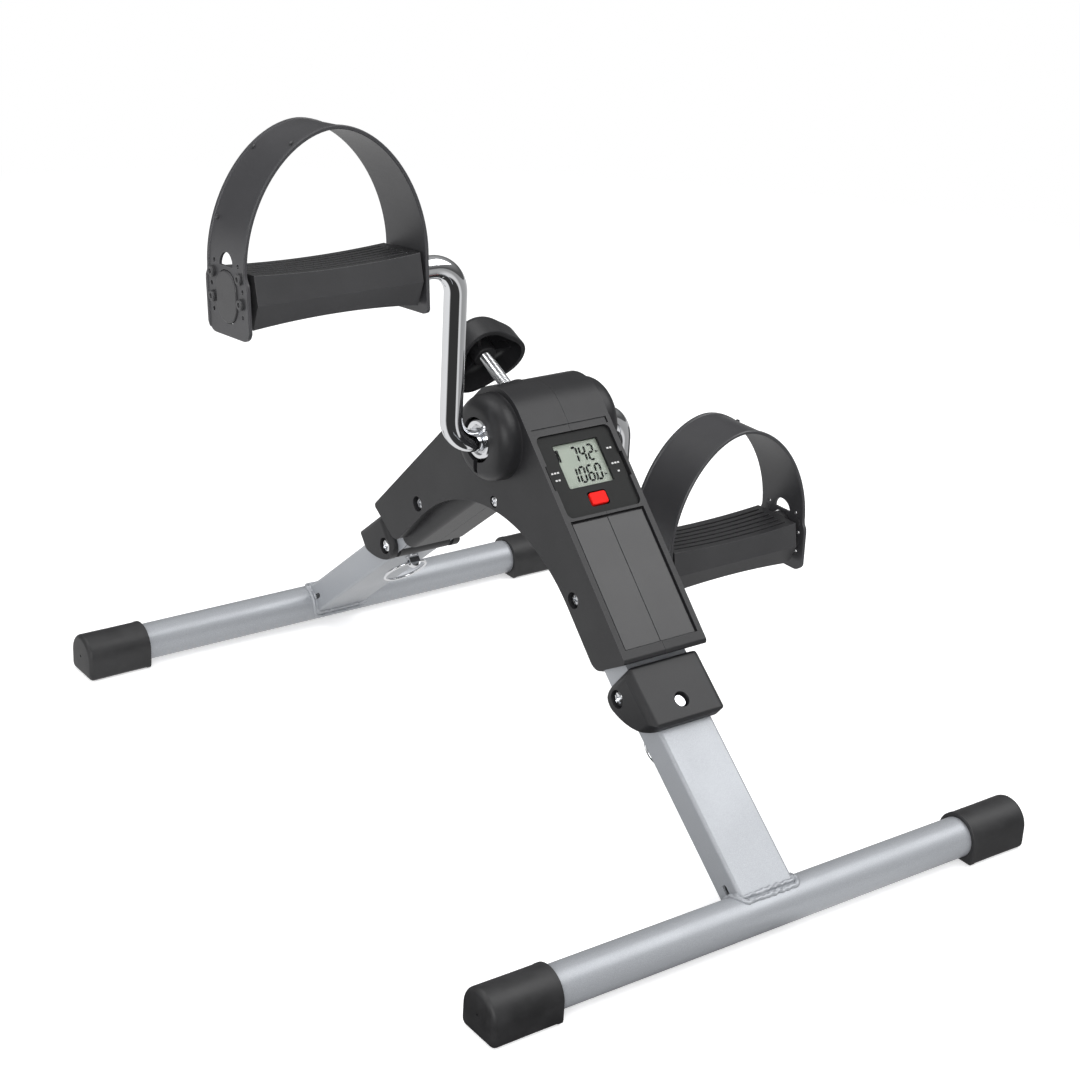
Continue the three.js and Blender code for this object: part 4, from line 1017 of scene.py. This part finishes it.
def build_housing():
    housing = cut(housing_body(), *housing_openings())
    for side, low, high in (("left", -80, -SEAM), ("right", SEAM, 80)):
        half = housing.copy()
        half.data = housing.data.copy()
        bpy.context.scene.collection.objects.link(half)
        common(half, block((low, high), (-300, 300), (0, 400)))
        weld(half)
        weighted_soften(half, 0.8, 0.3)
        piece(half, f"{side}_shell_look", "frame", SHELL, "shell_plastic", f"{side}_shell")
    bpy.data.objects.remove(housing)
    for end, panel in (("near", NEAR_PANEL), ("far", FAR_PANEL)):
        for side, low, high in (("left", SEAM, PANEL_HALF - 0.35), ("right", 0.35 - PANEL_HALF, -SEAM)):
            piece(panel_inlay(panel, low, high), f"{end}_{side}_inlay", "frame", PANEL, "shell_plastic")
    for end, sign in (("near", -1), ("far", 1)):
        for side, way in (("left", -1), ("right", 1)):
            turn = facing(way)
            seat = Matrix.Translation((way * 27.1, sign * SCREW_Y, SCREW_Z)) @ turn
            screw = phillips(4.0, 2.6, 1.5, seat, (1.9, 11))
            piece(screw, f"{end}_{side}_screw_look", "frame", STEEL, "zinc_steel", f"{end}_{side}_screw")
    seat = Matrix.Translation((-29.1, 0, ARCH_SCREW_Z)) @ Z_TO_NEGATIVE_X
    screw = phillips(3.4, 2.2, 1.3, seat, (1.8, 50))
    piece(screw, "arch_screw_look", "frame", CHROME, "zinc_steel", "arch_screw")


# ------------------------------------------------------------------ display

def monitor_plate(half, top, end, low, high, radius, steps=6):
    outline = shifted(rounded_box(half, (end - top) / 2, radius, steps), 0, (top + end) / 2)
    return prism(outline, low, high, "Z")


WINDOW = (16.8, 24.1, 53.4)
BUTTON_BOX = (6.1, 58.5, 66.5)
INNER_FACE = MONITOR_FACE - 2.3


def monitor_case():
    end = MONITOR_TOP + MONITOR_LENGTH
    middle = MONITOR_TOP + MONITOR_LENGTH / 2
    case = monitor_plate(MONITOR_HALF, MONITOR_TOP, end, MONITOR_FACE - 10, MONITOR_FACE, 3.8, 8)
    ears = arc(0, 0, 40, -11, 11, 14)
    ear_reach = MONITOR_HALF + EAR
    outline = [(ear_reach - 40 + a, middle + b) for a, b in ears]
    outline += [(40 - ear_reach - a, middle - b) for a, b in ears]
    join(case, prism(outline, MONITOR_FACE - 5, MONITOR_FACE - 0.9, "Z"))
    half, top, stop = WINDOW
    b_half, b_top, b_stop = BUTTON_BOX
    cut(
        case,
        monitor_plate(MONITOR_HALF - 2.5, MONITOR_TOP + 2.5, end - 2.5, MONITOR_FACE - 12, INNER_FACE, 2, 4),
        monitor_plate(half, top, stop, 20, 40, 0.8, 4),
        monitor_plate(b_half + 0.9, b_top - 0.9, b_stop + 0.9, 20, 40, 1.8, 5),
    )
    weld(case)
    soften(case, 0.45, 3, 35)
    return place(case, NEAR_PANEL)


# seven-segment digits: bars as (centre across, centre up, is upright), in a cell one wide and two high
BARS = {
    "a": (0.5, 2.0, False), "b": (1.0, 1.5, True), "c": (1.0, 0.5, True), "d": (0.5, 0.0, False),
    "e": (0.0, 0.5, True), "f": (0.0, 1.5, True), "g": (0.5, 1.0, False),
}
DIGITS = {
    "0": "abcdef", "1": "bc", "2": "abdeg", "4": "bcfg", "6": "acdefg", "7": "abc",
}
LCD_FACE = INNER_FACE - 0.3
DIGIT_WIDTH = 3.6  # between the middles of its upright bars
DIGIT_RISE = 4.9  # between the middles of its level bars
DIGIT_PITCH = 5.9
DIGIT_BAR = 1.45
DIGIT_GAP = 0.3
DIGIT_LEAN = 0.1


def lcd_bar(across, up, upright, length, lean):
    """One segment: a bar with pointed ends, leaning with the digit."""
    along, wide = length / 2, DIGIT_BAR / 2
    shape = [(-along, 0), (wide - along, -wide), (along - wide, -wide), (along, 0), (along - wide, wide),
             (wide - along, wide)]
    if upright:
        shape = [(-b, a) for a, b in shape]
    return [(across + a + lean * (up + b), up + b) for a, b in shape]


def lcd_text(text, right, base):
    """Right-aligned digits: the last one ends at `right` and stands `base` below the case's top."""
    outlines = []
    x = right - DIGIT_WIDTH
    for mark in reversed(text):
        if mark == ".":
            outlines.append([to_panel(x + DIGIT_PITCH - 0.7 + a, base - b) for a, b in circle(0.62, 12)])
            continue
        for bar in DIGITS[mark]:
            across, up, upright = BARS[bar]
            length = (DIGIT_RISE if upright else DIGIT_WIDTH) - DIGIT_GAP
            outline = lcd_bar(across * DIGIT_WIDTH, up * DIGIT_RISE, upright, length, DIGIT_LEAN)
            outlines.append([to_panel(x + a, base - b) for a, b in outline])
        x -= DIGIT_PITCH
    return outlines


def flat_marks(outlines, low, high):
    """Thin raised marks, all in one mesh."""
    points, faces = [], []
    for outline in outlines:
        count, start = len(outline), len(points)
        points += [(a, b, low) for a, b in outline] + [(a, b, high) for a, b in outline]
        faces.append(tuple(range(start + count, start + 2 * count)))
        faces.append(tuple(range(start, start + count))[::-1])
        for i in range(count):
            j = (i + 1) % count
            faces.append((start + i, start + j, start + j + count, start + i + count))
    return place(make("marks", points, faces), NEAR_PANEL)


def to_panel(across, down):
    """From a reader's view of the display, right and down from its top middle, to the panel frame."""
    return -across, MONITOR_TOP + down


def counter(outline):
    """The same outline, counter-clockwise."""
    area = sum(a[0] * b[1] - b[0] * a[1] for a, b in zip(outline, outline[1:] + outline[:1]))
    return outline if area > 0 else outline[::-1]


def crystal_marks():
    outlines = lcd_text("742", 11.2, 19.1)
    outlines += lcd_text("106.0", 11.2, 32.2)
    left, right, top, foot = -15.0, -12.7, 8.9, 17.0
    outlines.append([to_panel(x, y) for x, y in ((left, top), (right, top), (right, foot), (left, foot))])
    for down in (14.4, 29.9):
        outlines.append([to_panel(x, down + y) for x, y in ((13.3, -1.0), (15.4, 0), (13.3, 1.0))])
    return flat_marks([counter(outline) for outline in outlines], LCD_FACE - 0.05, LCD_FACE + 0.08)


def ink_marks():
    """Plain reference ticks beside the display, in place of words."""
    outlines = []
    width = 1.5
    places = ((22, 14.8, 2), (22, 25.1, 3), (22, 30.6, 1), (-22.6, 23.9, 3), (-22.6, 28.7, 2))
    for across, down, dashes in places:
        for i in range(dashes):
            x = across + (i - (dashes - 1) / 2) * 2.1
            mark = shifted(rounded_box(width / 2, 0.55, 0.3, 3), x, down)
            outlines.append(counter([to_panel(a, b) for a, b in mark]))
    return flat_marks(outlines, MONITOR_FACE - 0.1, MONITOR_FACE + 0.04)


def mode_button():
    """Rounded cap with a softly domed face."""
    half, top, end = BUTTON_BOX
    button = monitor_plate(half, top, end, 24.8, MONITOR_FACE + 0.9, 1.6, 8)
    soften(button, 0.7, 5, 40)
    return place(button, NEAR_PANEL)


def build_display():
    piece(monitor_case(), "monitor_case_look", "frame", DISPLAY_CASE, "shell_plastic", "monitor_case")
    half, top, stop = WINDOW
    glass = monitor_plate(half - 0.3, top + 0.3, stop - 0.3, INNER_FACE + 0.2, INNER_FACE + 0.9, 0.6, 4)
    glass = place(glass, NEAR_PANEL)
    piece(glass, "lcd_window_look", "frame", CLEAR, "lcd", "lcd_lens")
    panel = monitor_plate(half + 2, top - 2, stop + 2, INNER_FACE - 2.8, LCD_FACE, 0.6, 4)
    panel = place(panel, NEAR_PANEL)
    piece(panel, "lcd_panel_look", "frame", DISPLAY, "lcd", "lcd_panel")
    piece(crystal_marks(), "lcd_digits", "frame", CRYSTAL, "lcd")
    piece(ink_marks(), "monitor_ticks", "frame", INK, "lcd")
    piece(mode_button(), "mode_button_look", "button", BUTTON, "button_red", "mode_button")


# ------------------------------------------------------------------ cranks

CRANK_R = 7
CRANK_ARM = 113
CRANK_X = 65
CRANK_BEND = 18
SHOULDER_X = 98.5
SPINDLE_END = 206


def crank(matrix):
    """Z-bent round bar, its spindle turned down."""
    path = bent_path([
        (25, 0, 0), (CRANK_X, 0, 0), (CRANK_X, 0, CRANK_ARM), (SHOULDER_X - 0.8, 0, CRANK_ARM),
    ], CRANK_BEND)
    bar = sweep(path, circle(CRANK_R, 36))
    shoulder = [(SHOULDER_X - 3, 0), (SHOULDER_X - 3, CRANK_R - 0.01), (SHOULDER_X - 0.8, CRANK_R - 0.01),
                (SHOULDER_X, CRANK_R - 0.8), (SHOULDER_X, 5), (SPINDLE_END - 0.8, 5), (SPINDLE_END, 4.2),
                (SPINDLE_END, 0)]
    join(bar, turned(shoulder, Matrix.Translation((0, 0, CRANK_ARM)) @ Z_TO_X, 36))
    return place(bar, AT_AXLE @ matrix)


def axle_ring(side):
    """Pressed steel end ring at the mouth of the hub cover."""
    profile = [(41.2, 12.6), (44.4, 12.6), (45.2, 11.6), (45.2, 9.6), (44.6, 8.9), (41.2, 8.9)]
    return turned(profile, AT_AXLE @ facing(side), 48, ring=True)


def build_cranks():
    half_turn_x = Matrix.Rotation(math.pi, 4, "X")
    piece(crank(HALF_TURN), "left_crank_look", "crank", CHROME, "chrome", "left_crank", angle=50)
    piece(crank(half_turn_x), "right_crank_look", "crank", CHROME, "chrome", "right_crank", angle=50)
    for side, sign in (("left", -1), ("right", 1)):
        head = Matrix.Translation((sign * 39.5, 0, AXLE_Z)) @ Matrix.Rotation(math.pi / 2, 4, "X")
        bolt = phillips(4.8, 3.2, 1.8, head @ Matrix.Translation((0, 0, 9.3)), (3.0, 22.3))
        piece(bolt, f"{side}_crank_bolt_look", "crank", CHROME, "chrome", f"{side}_crank_bolt")
        piece(axle_ring(sign), f"{side}_axle_ring", "crank", CHROME, "chrome")


# ------------------------------------------------------------------ pedals

PEDAL_IN, PEDAL_OUT = 102, 208
PEDAL_MIDDLE = (PEDAL_IN + PEDAL_OUT) / 2
PEDAL_HALF_LENGTH = (PEDAL_OUT - PEDAL_IN) / 2
PEDAL_TOP = 13.8
PEDAL_HALF = 22.4
PEDAL_FOOT = -17.2
PEDAL_DISH = 2.1
PEDAL_ARCH = 3.0
RIBS = 7
STRAP_HALF = 21.4
STRAP_FLARE = 2.6  # how much further the outer end reaches at each side
STRAP_OUT = 57.6
STRAP_IN = 55.3
STRAP_SPRING = 15
STRAP_TOP = 89.7
STRAP_FOOT = -22.2
STRAP_THICK = 2.4
STRAP_POWER = 2 / 1.85  # 1 would be an ellipse; a little more flattens its flanks
STRAP_FACE = PEDAL_MIDDLE + STRAP_OUT + STRAP_THICK
PLUG_HALF_Y, PLUG_HALF_Z = 11.4, 14.6


def pedal_body():
    """Tread with a dished top of ribs, arched underside with pockets, closed ends."""
    foot_half, waist, lean = 15.5, -2.5, 2.8
    cross = [(-foot_half, PEDAL_FOOT), (foot_half, PEDAL_FOOT), (PEDAL_HALF, waist),
             (PEDAL_HALF - lean, PEDAL_TOP), (lean - PEDAL_HALF, PEDAL_TOP), (-PEDAL_HALF, waist)]
    body = prism(cross, PEDAL_IN, PEDAL_OUT, "X")
    under, over = [], []
    steps = 28
    for i in range(steps + 1):
        t = 2 * i / steps - 1
        x = PEDAL_MIDDLE + t * PEDAL_HALF_LENGTH
        under.append((-x, PEDAL_FOOT + PEDAL_ARCH * (1 - t * t)))
        over.append((-x, PEDAL_TOP - PEDAL_DISH * (1 - t * t)))
    common(body, prism(over + under[::-1], -40, 40, "Y"))
    pitch = (2 * PEDAL_HALF - 7) / RIBS
    for i in range(1, RIBS):
        groove = rounded_box(PEDAL_HALF_LENGTH - 4.5, 0.95, 0.9, 8)
        groove = shifted(groove, PEDAL_MIDDLE, (i - RIBS / 2) * pitch)
        cut(body, prism(groove, PEDAL_TOP - 4, 40, "Z"))
    for i in range(3):
        x = PEDAL_MIDDLE + (i - 1) * 33
        for way in (-1, 1):
            pocket = shifted(rounded_box(13.5, 4.2, 1.5, 8), x, way * 10.2)
            cut(body, prism(pocket, -40, -7.5, "Z"))
    cut(body, rod_x(5.3, 90, 230, 0, 0, 32), rod_x(9, 203, 230, 0, 0, 40))
    weld(body)
    return soften(body, 0.6, 2, 15)


def strap_stations():
    """The strap's inner line: (x, z, outward x, outward z, extra half-width)."""
    rise = STRAP_TOP - STRAP_THICK - STRAP_SPRING
    straight, bends = 13, 56
    leg = [STRAP_FOOT + (STRAP_SPRING - STRAP_FOOT) * i / straight for i in range(straight)]
    flare_end, flare_start = PEDAL_TOP - 1, PEDAL_TOP - 5
    stations = []
    for z in leg:
        share = min(1, max(0, (flare_end - z) / (flare_end - flare_start)))
        stations.append((STRAP_OUT, z, 1, 0, STRAP_FLARE * share))
    for i in range(bends + 1):
        angle = math.pi * i / bends
        half = STRAP_OUT if angle < math.pi / 2 else STRAP_IN
        across = math.copysign(abs(math.cos(angle)) ** STRAP_POWER, math.cos(angle))
        up = math.sin(angle) ** STRAP_POWER if 0 < i < bends else 0
        out = Vector((rise * math.cos(angle), half * math.sin(angle))).normalized()
        stations.append((half * across, STRAP_SPRING + rise * up, out.x, out.y, 0))
    return stations + [(-STRAP_IN, z, -1, 0, 0) for z in reversed(leg)]


def strap():
    """Moulded rubber strap with rounded, thicker edges, fastened over both pedal ends."""
    edge, lip = 2.2, 0.6
    right = [(STRAP_HALF - 0.5, 0.1), (STRAP_HALF, 0.6), (STRAP_HALF, STRAP_THICK - 0.5),
             (STRAP_HALF - 0.5, STRAP_THICK), (STRAP_HALF - edge, STRAP_THICK),
             (STRAP_HALF - edge - 0.5, STRAP_THICK - lip)]
    section = right + [(-w, h) for w, h in reversed(right)]
    band = loft([[(PEDAL_MIDDLE + x + out_x * h, w + math.copysign(extra, w), z + out_z * h)
                  for w, h in section] for x, z, out_x, out_z, extra in strap_stations()])
    band.data.flip_normals()
    hole = arc(0, 16.9, 7.6, 0, 180, 16)
    cuts = [
        rod_x(7.8, 90, PEDAL_MIDDLE, 0, 0, 40),
        prism(rounded_box(PLUG_HALF_Y + 0.4, PLUG_HALF_Z + 0.4, PLUG_HALF_Y, 12), PEDAL_MIDDLE, 230, "X"),
        prism(hole, PEDAL_MIDDLE, 230, "X"),
    ]
    for y, z in ((-17.6, 5.2), (17.6, 5.2), (-16.5, -9), (16.5, -9), (-13.5, 18.5), (13.5, 18.5)):
        cuts.append(rod_x(1.3, PEDAL_MIDDLE, 230, y, z, 16))
    ends = ((PEDAL_MIDDLE, 230, STRAP_HALF + STRAP_FLARE, 8), (90, PEDAL_MIDDLE, STRAP_HALF, 5))
    for start, end, half, corner in ends:
        for way in (-1, 1):
            notch = [(half - corner, STRAP_FOOT - 5), (half + 5, STRAP_FOOT - 5),
                     (half + 5, STRAP_FOOT + corner)]
            notch += arc(half - corner, STRAP_FOOT + corner, corner, 0, -90, 10)
            cuts.append(prism(counter([(way * a, b) for a, b in notch]), start, end, "X"))
    cut(band, *cuts)
    weld(band)
    return soften(band, 0.3, 2, 40)


def strap_studs():
    """Moulded studs that hold the strap's outer end, and the small nubs on its band."""
    studs = []
    for y, z in ((-16.0, -1.8), (16.0, -1.8), (-15.6, 12), (15.6, 12)):
        matrix = Matrix.Translation((STRAP_FACE, y, z)) @ Z_TO_X
        profile = [(-2.6, 0), (-2.6, 3.2), (0.9, 3.2), (1.5, 2.6), (1.5, 1.5), (0.4, 1.2), (0.4, 0)]
        studs.append(turned(profile, matrix, 24))
    stations = strap_stations()
    for index, across in ((20, -15.5), (31, -15.5), (33, 15.5)):
        x, z, out_x, out_z, _ = stations[index]
        tilt = Matrix.Rotation(math.atan2(out_x, out_z), 4, "Y")
        matrix = Matrix.Translation((PEDAL_MIDDLE + x, across, z)) @ tilt
        studs.append(turned([(1, 0), (1, 1.5), (STRAP_THICK + 0.5, 1.3), (STRAP_THICK + 0.8, 0.9),
                             (STRAP_THICK + 0.8, 0)], matrix, 16))
    return studs


def pedal_plug():
    """Oval plug in the outer end of the pedal."""
    outline = rounded_box(PLUG_HALF_Y, PLUG_HALF_Z, PLUG_HALF_Y - 0.3, 12)
    return soften(prism(outline, PEDAL_OUT + 0.1, STRAP_FACE + 0.4, "X"), 0.8, 3, 40)


def pedal_frame(name):
    """Frame of a pedal at rest: the CAD tread's own tilt, about its spindle."""
    spindle = joint_point(f"{name}_pedal_spin")
    tilt = solve_tilt(frame["nodes"][f"{name}_pedal_body"])
    side = HALF_TURN if name == "left" else IDENTITY
    base = Matrix.Translation((0, spindle.y, spindle.z))
    return base @ Matrix.Rotation(tilt, 4, "X") @ side


def solve_tilt(node):
    """Tilt of a pedal about X, from the slope of its flat ends' top edge in the CAD mesh."""
    corners = sorted((vertex.co.copy() for vertex in node.data.vertices), key=lambda v: -v.z)
    top = corners[0]
    other = min((v for v in corners if abs(v.x - top.x) < 0.5 * MM and v.z > top.z - 8 * MM),
                key=lambda v: -abs(v.y - top.y))
    first, second = sorted((top, other), key=lambda v: v.y)
    return math.atan2(second.z - first.z, second.y - first.y)


def build_pedals():
    for name in ("left", "right"):
        matrix = pedal_frame(name)
        body = f"{name}_pedal"
        parts = (
            (pedal_body, "tread", PEDAL, "pedal_plastic", "body"),
            (strap, "strap", STRAP, "rubber", "strap"),
            (pedal_plug, "cap", PEDAL, "pedal_plastic", "cap"),
        )
        for build, look, material, slot, node in parts:
            piece(place(build(), matrix), f"{name}_{look}_look", body, material, slot, f"{name}_pedal_{node}")
        for i, stud in enumerate(strap_studs()):
            piece(place(stud, matrix), f"{name}_stud_{i + 1}", body, PEDAL, "pedal_plastic")


# ------------------------------------------------------------------ tension knob

KNOB_FACE = 62
KNOB_DEPTH = 19
KNOB_R = 25.2
KNOB_LOBE = 2.7


def knob_ring(scale, height, shrink=0.0, count=96):
    points = []
    for i in range(count):
        turn = 2 * math.pi * i / count
        r = (KNOB_R + KNOB_LOBE * math.cos(3 * turn)) * scale - shrink
        points.append((r * math.cos(turn), r * math.sin(turn), height))
    return points


def knob():
    """Three-lobed knob, a rounded bowl that opens towards the housing, with a hub inside."""
    top = KNOB_FACE + KNOB_DEPTH
    rings = [knob_ring(1.0, KNOB_FACE, 0.5), knob_ring(1.0, KNOB_FACE + 0.5), knob_ring(0.99, KNOB_FACE + 7)]
    crown = 6.5
    for i in range(9):
        angle = i / 8 * math.pi / 2
        shrink = crown * 1.15 * (1 - math.cos(angle))
        rings.append(knob_ring(0.985, top - crown + crown * math.sin(angle), shrink))
    rings.append(knob_ring(0.45, top))
    inside = [knob_ring(1.0, KNOB_FACE - 1, 3.0), knob_ring(0.985, top - 8, 3.2),
              knob_ring(0.98, top - 4.5, 5.5), knob_ring(0.93, top - 3.4, 9.0), knob_ring(0.3, top - 3.2)]
    body = cut(loft(rings), loft(inside))
    hub = [(KNOB_FACE + 4, 0), (KNOB_FACE + 4, 7.2), (KNOB_FACE + 4.8, 8), (top - 3, 8.6), (top - 3, 0)]
    join(body, turned(hub, IDENTITY, 40))
    for i in range(3):
        web = block((-0.9, 0.9), (7, 21.5), (KNOB_FACE + 8, top - 3.3),
                    Matrix.Rotation(math.radians(30 + 120 * i), 4, "Z"))
        join(body, web)
    cut(body, rod(4.2, KNOB_FACE - 5, top - 5, IDENTITY, 28))
    weld(body)
    return place(body, TENSION)


def threaded_rod():
    """M8 rod with a plain inner end and a cut thread where it is seen."""
    radius, pitch, steps = 4.0, 1.25, 24
    start, end = 22.8, 75
    thread_start, thread_end, thread_depth = 27, 74, 0.55
    rows = int((end - start) / pitch * 8)
    rings = []
    for row in range(rows + 1):
        h = start + (end - start) * row / rows
        ring = []
        for i in range(steps):
            angle = 2 * math.pi * i / steps
            phase = (h / pitch - i / steps) % 1.0
            depth = thread_depth * abs(2 * phase - 1) if thread_start < h < thread_end else 0.0
            ring.append(((radius - depth) * math.cos(angle), (radius - depth) * math.sin(angle), h))
        rings.append(ring)
    return place(loft(rings), TENSION)


def build_brake():
    piece(knob(), "tension_knob_look", "knob", COVER, "shell_plastic", "tension_knob", angle=45)
    piece(threaded_rod(), "tension_screw_look", "knob", CHROME, "chrome", "tension_screw", angle=60)


# ------------------------------------------------------------------ carried-over CAD nodes

SLOT_MATERIALS = {
    "silver_paint": SILVER, "chrome": CHROME, "zinc_steel": STEEL, "shell_plastic": SHELL,
    "hinge_plastic": COVER, "pedal_plastic": PEDAL, "rubber": RUBBER, "nylon": NYLON, "lcd": DISPLAY,
    "button_red": BUTTON,
}


def dress_cad_nodes():
    for name, node in frame["nodes"].items():
        node.data.materials.clear()
        node.data.materials.append(SLOT_MATERIALS[SLOTS[name]])
    bevel_cad("frame_tube", 0.9)
    small = ("crank_axle", "left_thrust_washer", "right_thrust_washer", "near_hinge_nut", "far_hinge_nut")
    for node in small:
        bevel_cad(node, 0.3, 1)


# ------------------------------------------------------------------ stage

CAMERA_YAW = math.radians(-36.7)
CAMERA_PITCH = math.radians(23.1)
CAMERA_ROLL = math.radians(3.1)
CAMERA_PLACE = (-0.7583, -1.0257, 0.6958)
FIELD_RATIO = 2196.8 / 1080  # focal length over the picture's side
SENSOR = 36.0
CAMERA_BACK = Vector((
    math.sin(CAMERA_YAW) * math.cos(CAMERA_PITCH),
    -math.cos(CAMERA_YAW) * math.cos(CAMERA_PITCH),
    math.sin(CAMERA_PITCH),
))
CAMERA_RIGHT = Vector((math.cos(CAMERA_YAW), math.sin(CAMERA_YAW), 0))
CAMERA_SIDE = Vector((math.sin(CAMERA_YAW), -math.cos(CAMERA_YAW), 0))  # level, towards the camera

FLOOR_HALF = 6000
FLOOR_LIFT = 0.45
FLOOR_POLISH = 0.035
# what mirror-like parts see round them: (degrees to the right of the camera, level)
STUDIO_ROUND = (
    (-180, 0.75), (-56, 0.85), (-44, 0.04), (38, 0.04), (44, 0.75), (58, 0.7), (68, 0.34), (120, 0.4),
    (180, 0.75),
)


def studio_round(tree, where):
    """Level of the studio in a direction round the product, measured from the camera's side."""
    parts = []
    for direction in (CAMERA_RIGHT, CAMERA_SIDE):
        along = tree.add("VectorMath", "DOT_PRODUCT")
        along.inputs[1].default_value = direction
        tree.link(where, along.inputs[0])
        parts.append(along.outputs["Value"])
    angle = tree.maths("ARCTAN2", *parts)
    ramp = tree.add("ValToRGB")
    tree.link(tree.ramp(angle, -math.pi, math.pi), ramp.inputs[0])
    stops = ramp.color_ramp.elements
    for degrees, _ in STUDIO_ROUND[1:-1]:
        stops.new((degrees + 180) / 360)
    for stop, (_, level) in zip(stops, STUDIO_ROUND):
        stop.color = (level, level, level, 1)
    return ramp.outputs["Color"]


def floor_material():
    """Pale studio sweep. Past the shadows it turns plain white, and only mirror-like surfaces see the
    dark part of the studio around the camera."""
    look = Look("floor")
    look.nodes.remove(look.shader)
    where = look.add("NewGeometry").outputs["Position"]

    diffuse = look.add("BsdfDiffuse")
    look.link(look.blend(look.noise(3), (0.86, 0.86, 0.865), (0.89, 0.89, 0.895)), diffuse.inputs["Color"])
    polish = look.add("BsdfGlossy")
    polish.inputs["Roughness"].default_value = 0.22
    polished = look.mix(FLOOR_POLISH, diffuse, polish)
    lift = look.add("Emission")
    lift.inputs["Strength"].default_value = FLOOR_LIFT
    lifted = look.add("AddShader")
    look.link(polished.outputs[0], lifted.inputs[0])
    look.link(lift.outputs[0], lifted.inputs[1])
    distance = look.add("VectorMath", "LENGTH")
    look.link(where, distance.inputs[0])
    fade = look.ramp(distance.outputs["Value"], 0.75, 1.6)
    seen = look.mix(fade, lifted, look.add("Emission"))

    mirrored = look.add("Emission")
    look.link(studio_round(look, where), mirrored.inputs["Strength"])
    bounce = look.add("BsdfDiffuse")
    bounce.inputs["Color"].default_value = (0.8, 0.8, 0.8, 1)
    final = look.by_ray(bounce, mirrored, seen)
    look.link(final.outputs[0], look.nodes["Material Output"].inputs["Surface"])
    return look.material


def build_floor():
    span = (-FLOOR_HALF, FLOOR_HALF)
    floor = block(span, span, (-20, -0.2))
    floor.name = "floor"
    floor.data.materials.append(floor_material())


def softbox(name, location, target, size, power):
    light = bpy.data.lights.new(name, "AREA")
    light.shape = "RECTANGLE"
    light.size, light.size_y = size
    light.energy = power
    obj = bpy.data.objects.new(name, light)
    obj.location = location
    obj.rotation_euler = (Vector(target) - Vector(location)).to_track_quat("-Z", "Y").to_euler()
    bpy.context.scene.collection.objects.link(obj)


def build_world():
    """White studio to look at, a softer grey one to be lit by, brighter in front and on the left, and a
    darker one in reflections."""
    world = bpy.data.worlds.new("studio")
    bpy.context.scene.world = world
    tree = Tree(world)
    split = tree.add("SeparateXYZ")
    tree.link(tree.add("TexCoord").outputs["Generated"], split.inputs[0])

    seen = tree.nodes["Background"]
    seen.inputs["Color"].default_value = (1, 1, 1, 1)
    level = tree.ramp(split.outputs["Z"], 0.0, 0.9, 0.42, 0.62)
    for axis, strength in (("X", 0.9), ("Y", 0.5)):
        level = tree.maths("ADD", level, tree.ramp(split.outputs[axis], -1.0, -0.2, strength, 0.0))
    lit = tree.add("Background")
    tree.link(level, lit.inputs["Strength"])
    mirrored = tree.add("Background")
    tree.link(tree.ramp(split.outputs["Z"], 0.1, 0.75, 0.12, 0.5), mirrored.inputs["Strength"])
    final = tree.by_ray(lit, mirrored, seen)
    tree.link(final.outputs[0], tree.nodes["World Output"].inputs["Surface"])


def build_camera():
    data = bpy.data.cameras.new("camera")
    data.sensor_width = SENSOR
    data.lens = SENSOR * FIELD_RATIO
    data.clip_start = 0.05
    camera = bpy.data.objects.new("camera", data)
    up = CAMERA_BACK.cross(CAMERA_RIGHT)
    rolled_right = CAMERA_RIGHT * math.cos(CAMERA_ROLL) + up * math.sin(CAMERA_ROLL)
    rolled_up = up * math.cos(CAMERA_ROLL) - CAMERA_RIGHT * math.sin(CAMERA_ROLL)
    camera.matrix_world = frame_of(rolled_right, rolled_up, CAMERA_BACK, Vector(CAMERA_PLACE))
    bpy.context.scene.collection.objects.link(camera)
    bpy.context.scene.camera = camera


def build_lights():
    softbox("key", (0.95, -0.6, 1.45), (0, -0.05, 0.15), (1.3, 1.1), 14)
    softbox("overhead", (-0.35, 0.35, 1.6), (0, 0, 0.1), (1.2, 1.0), 8)
    softbox("left_strip", (-1.25, 0.1, 0.75), (0, 0, 0.2), (0.35, 1.2), 3)
    softbox("front_fill", (-0.95, -1.25, 0.75), (0, 0, 0.15), (0.9, 0.7), 9)


dress_cad_nodes()
build_base("near", NEAR_LEG, 1)
build_base("far", FAR_LEG, -1)
build_hinge("near", NEAR_LEG, 1)
build_hinge("far", FAR_LEG, -1)
build_housing()
build_display()
build_cranks()
build_pedals()
build_brake()
build_floor()
build_lights()
build_world()
build_camera()
bpy.context.scene.view_settings.view_transform = "Standard"

bpy.context.view_layer.update()
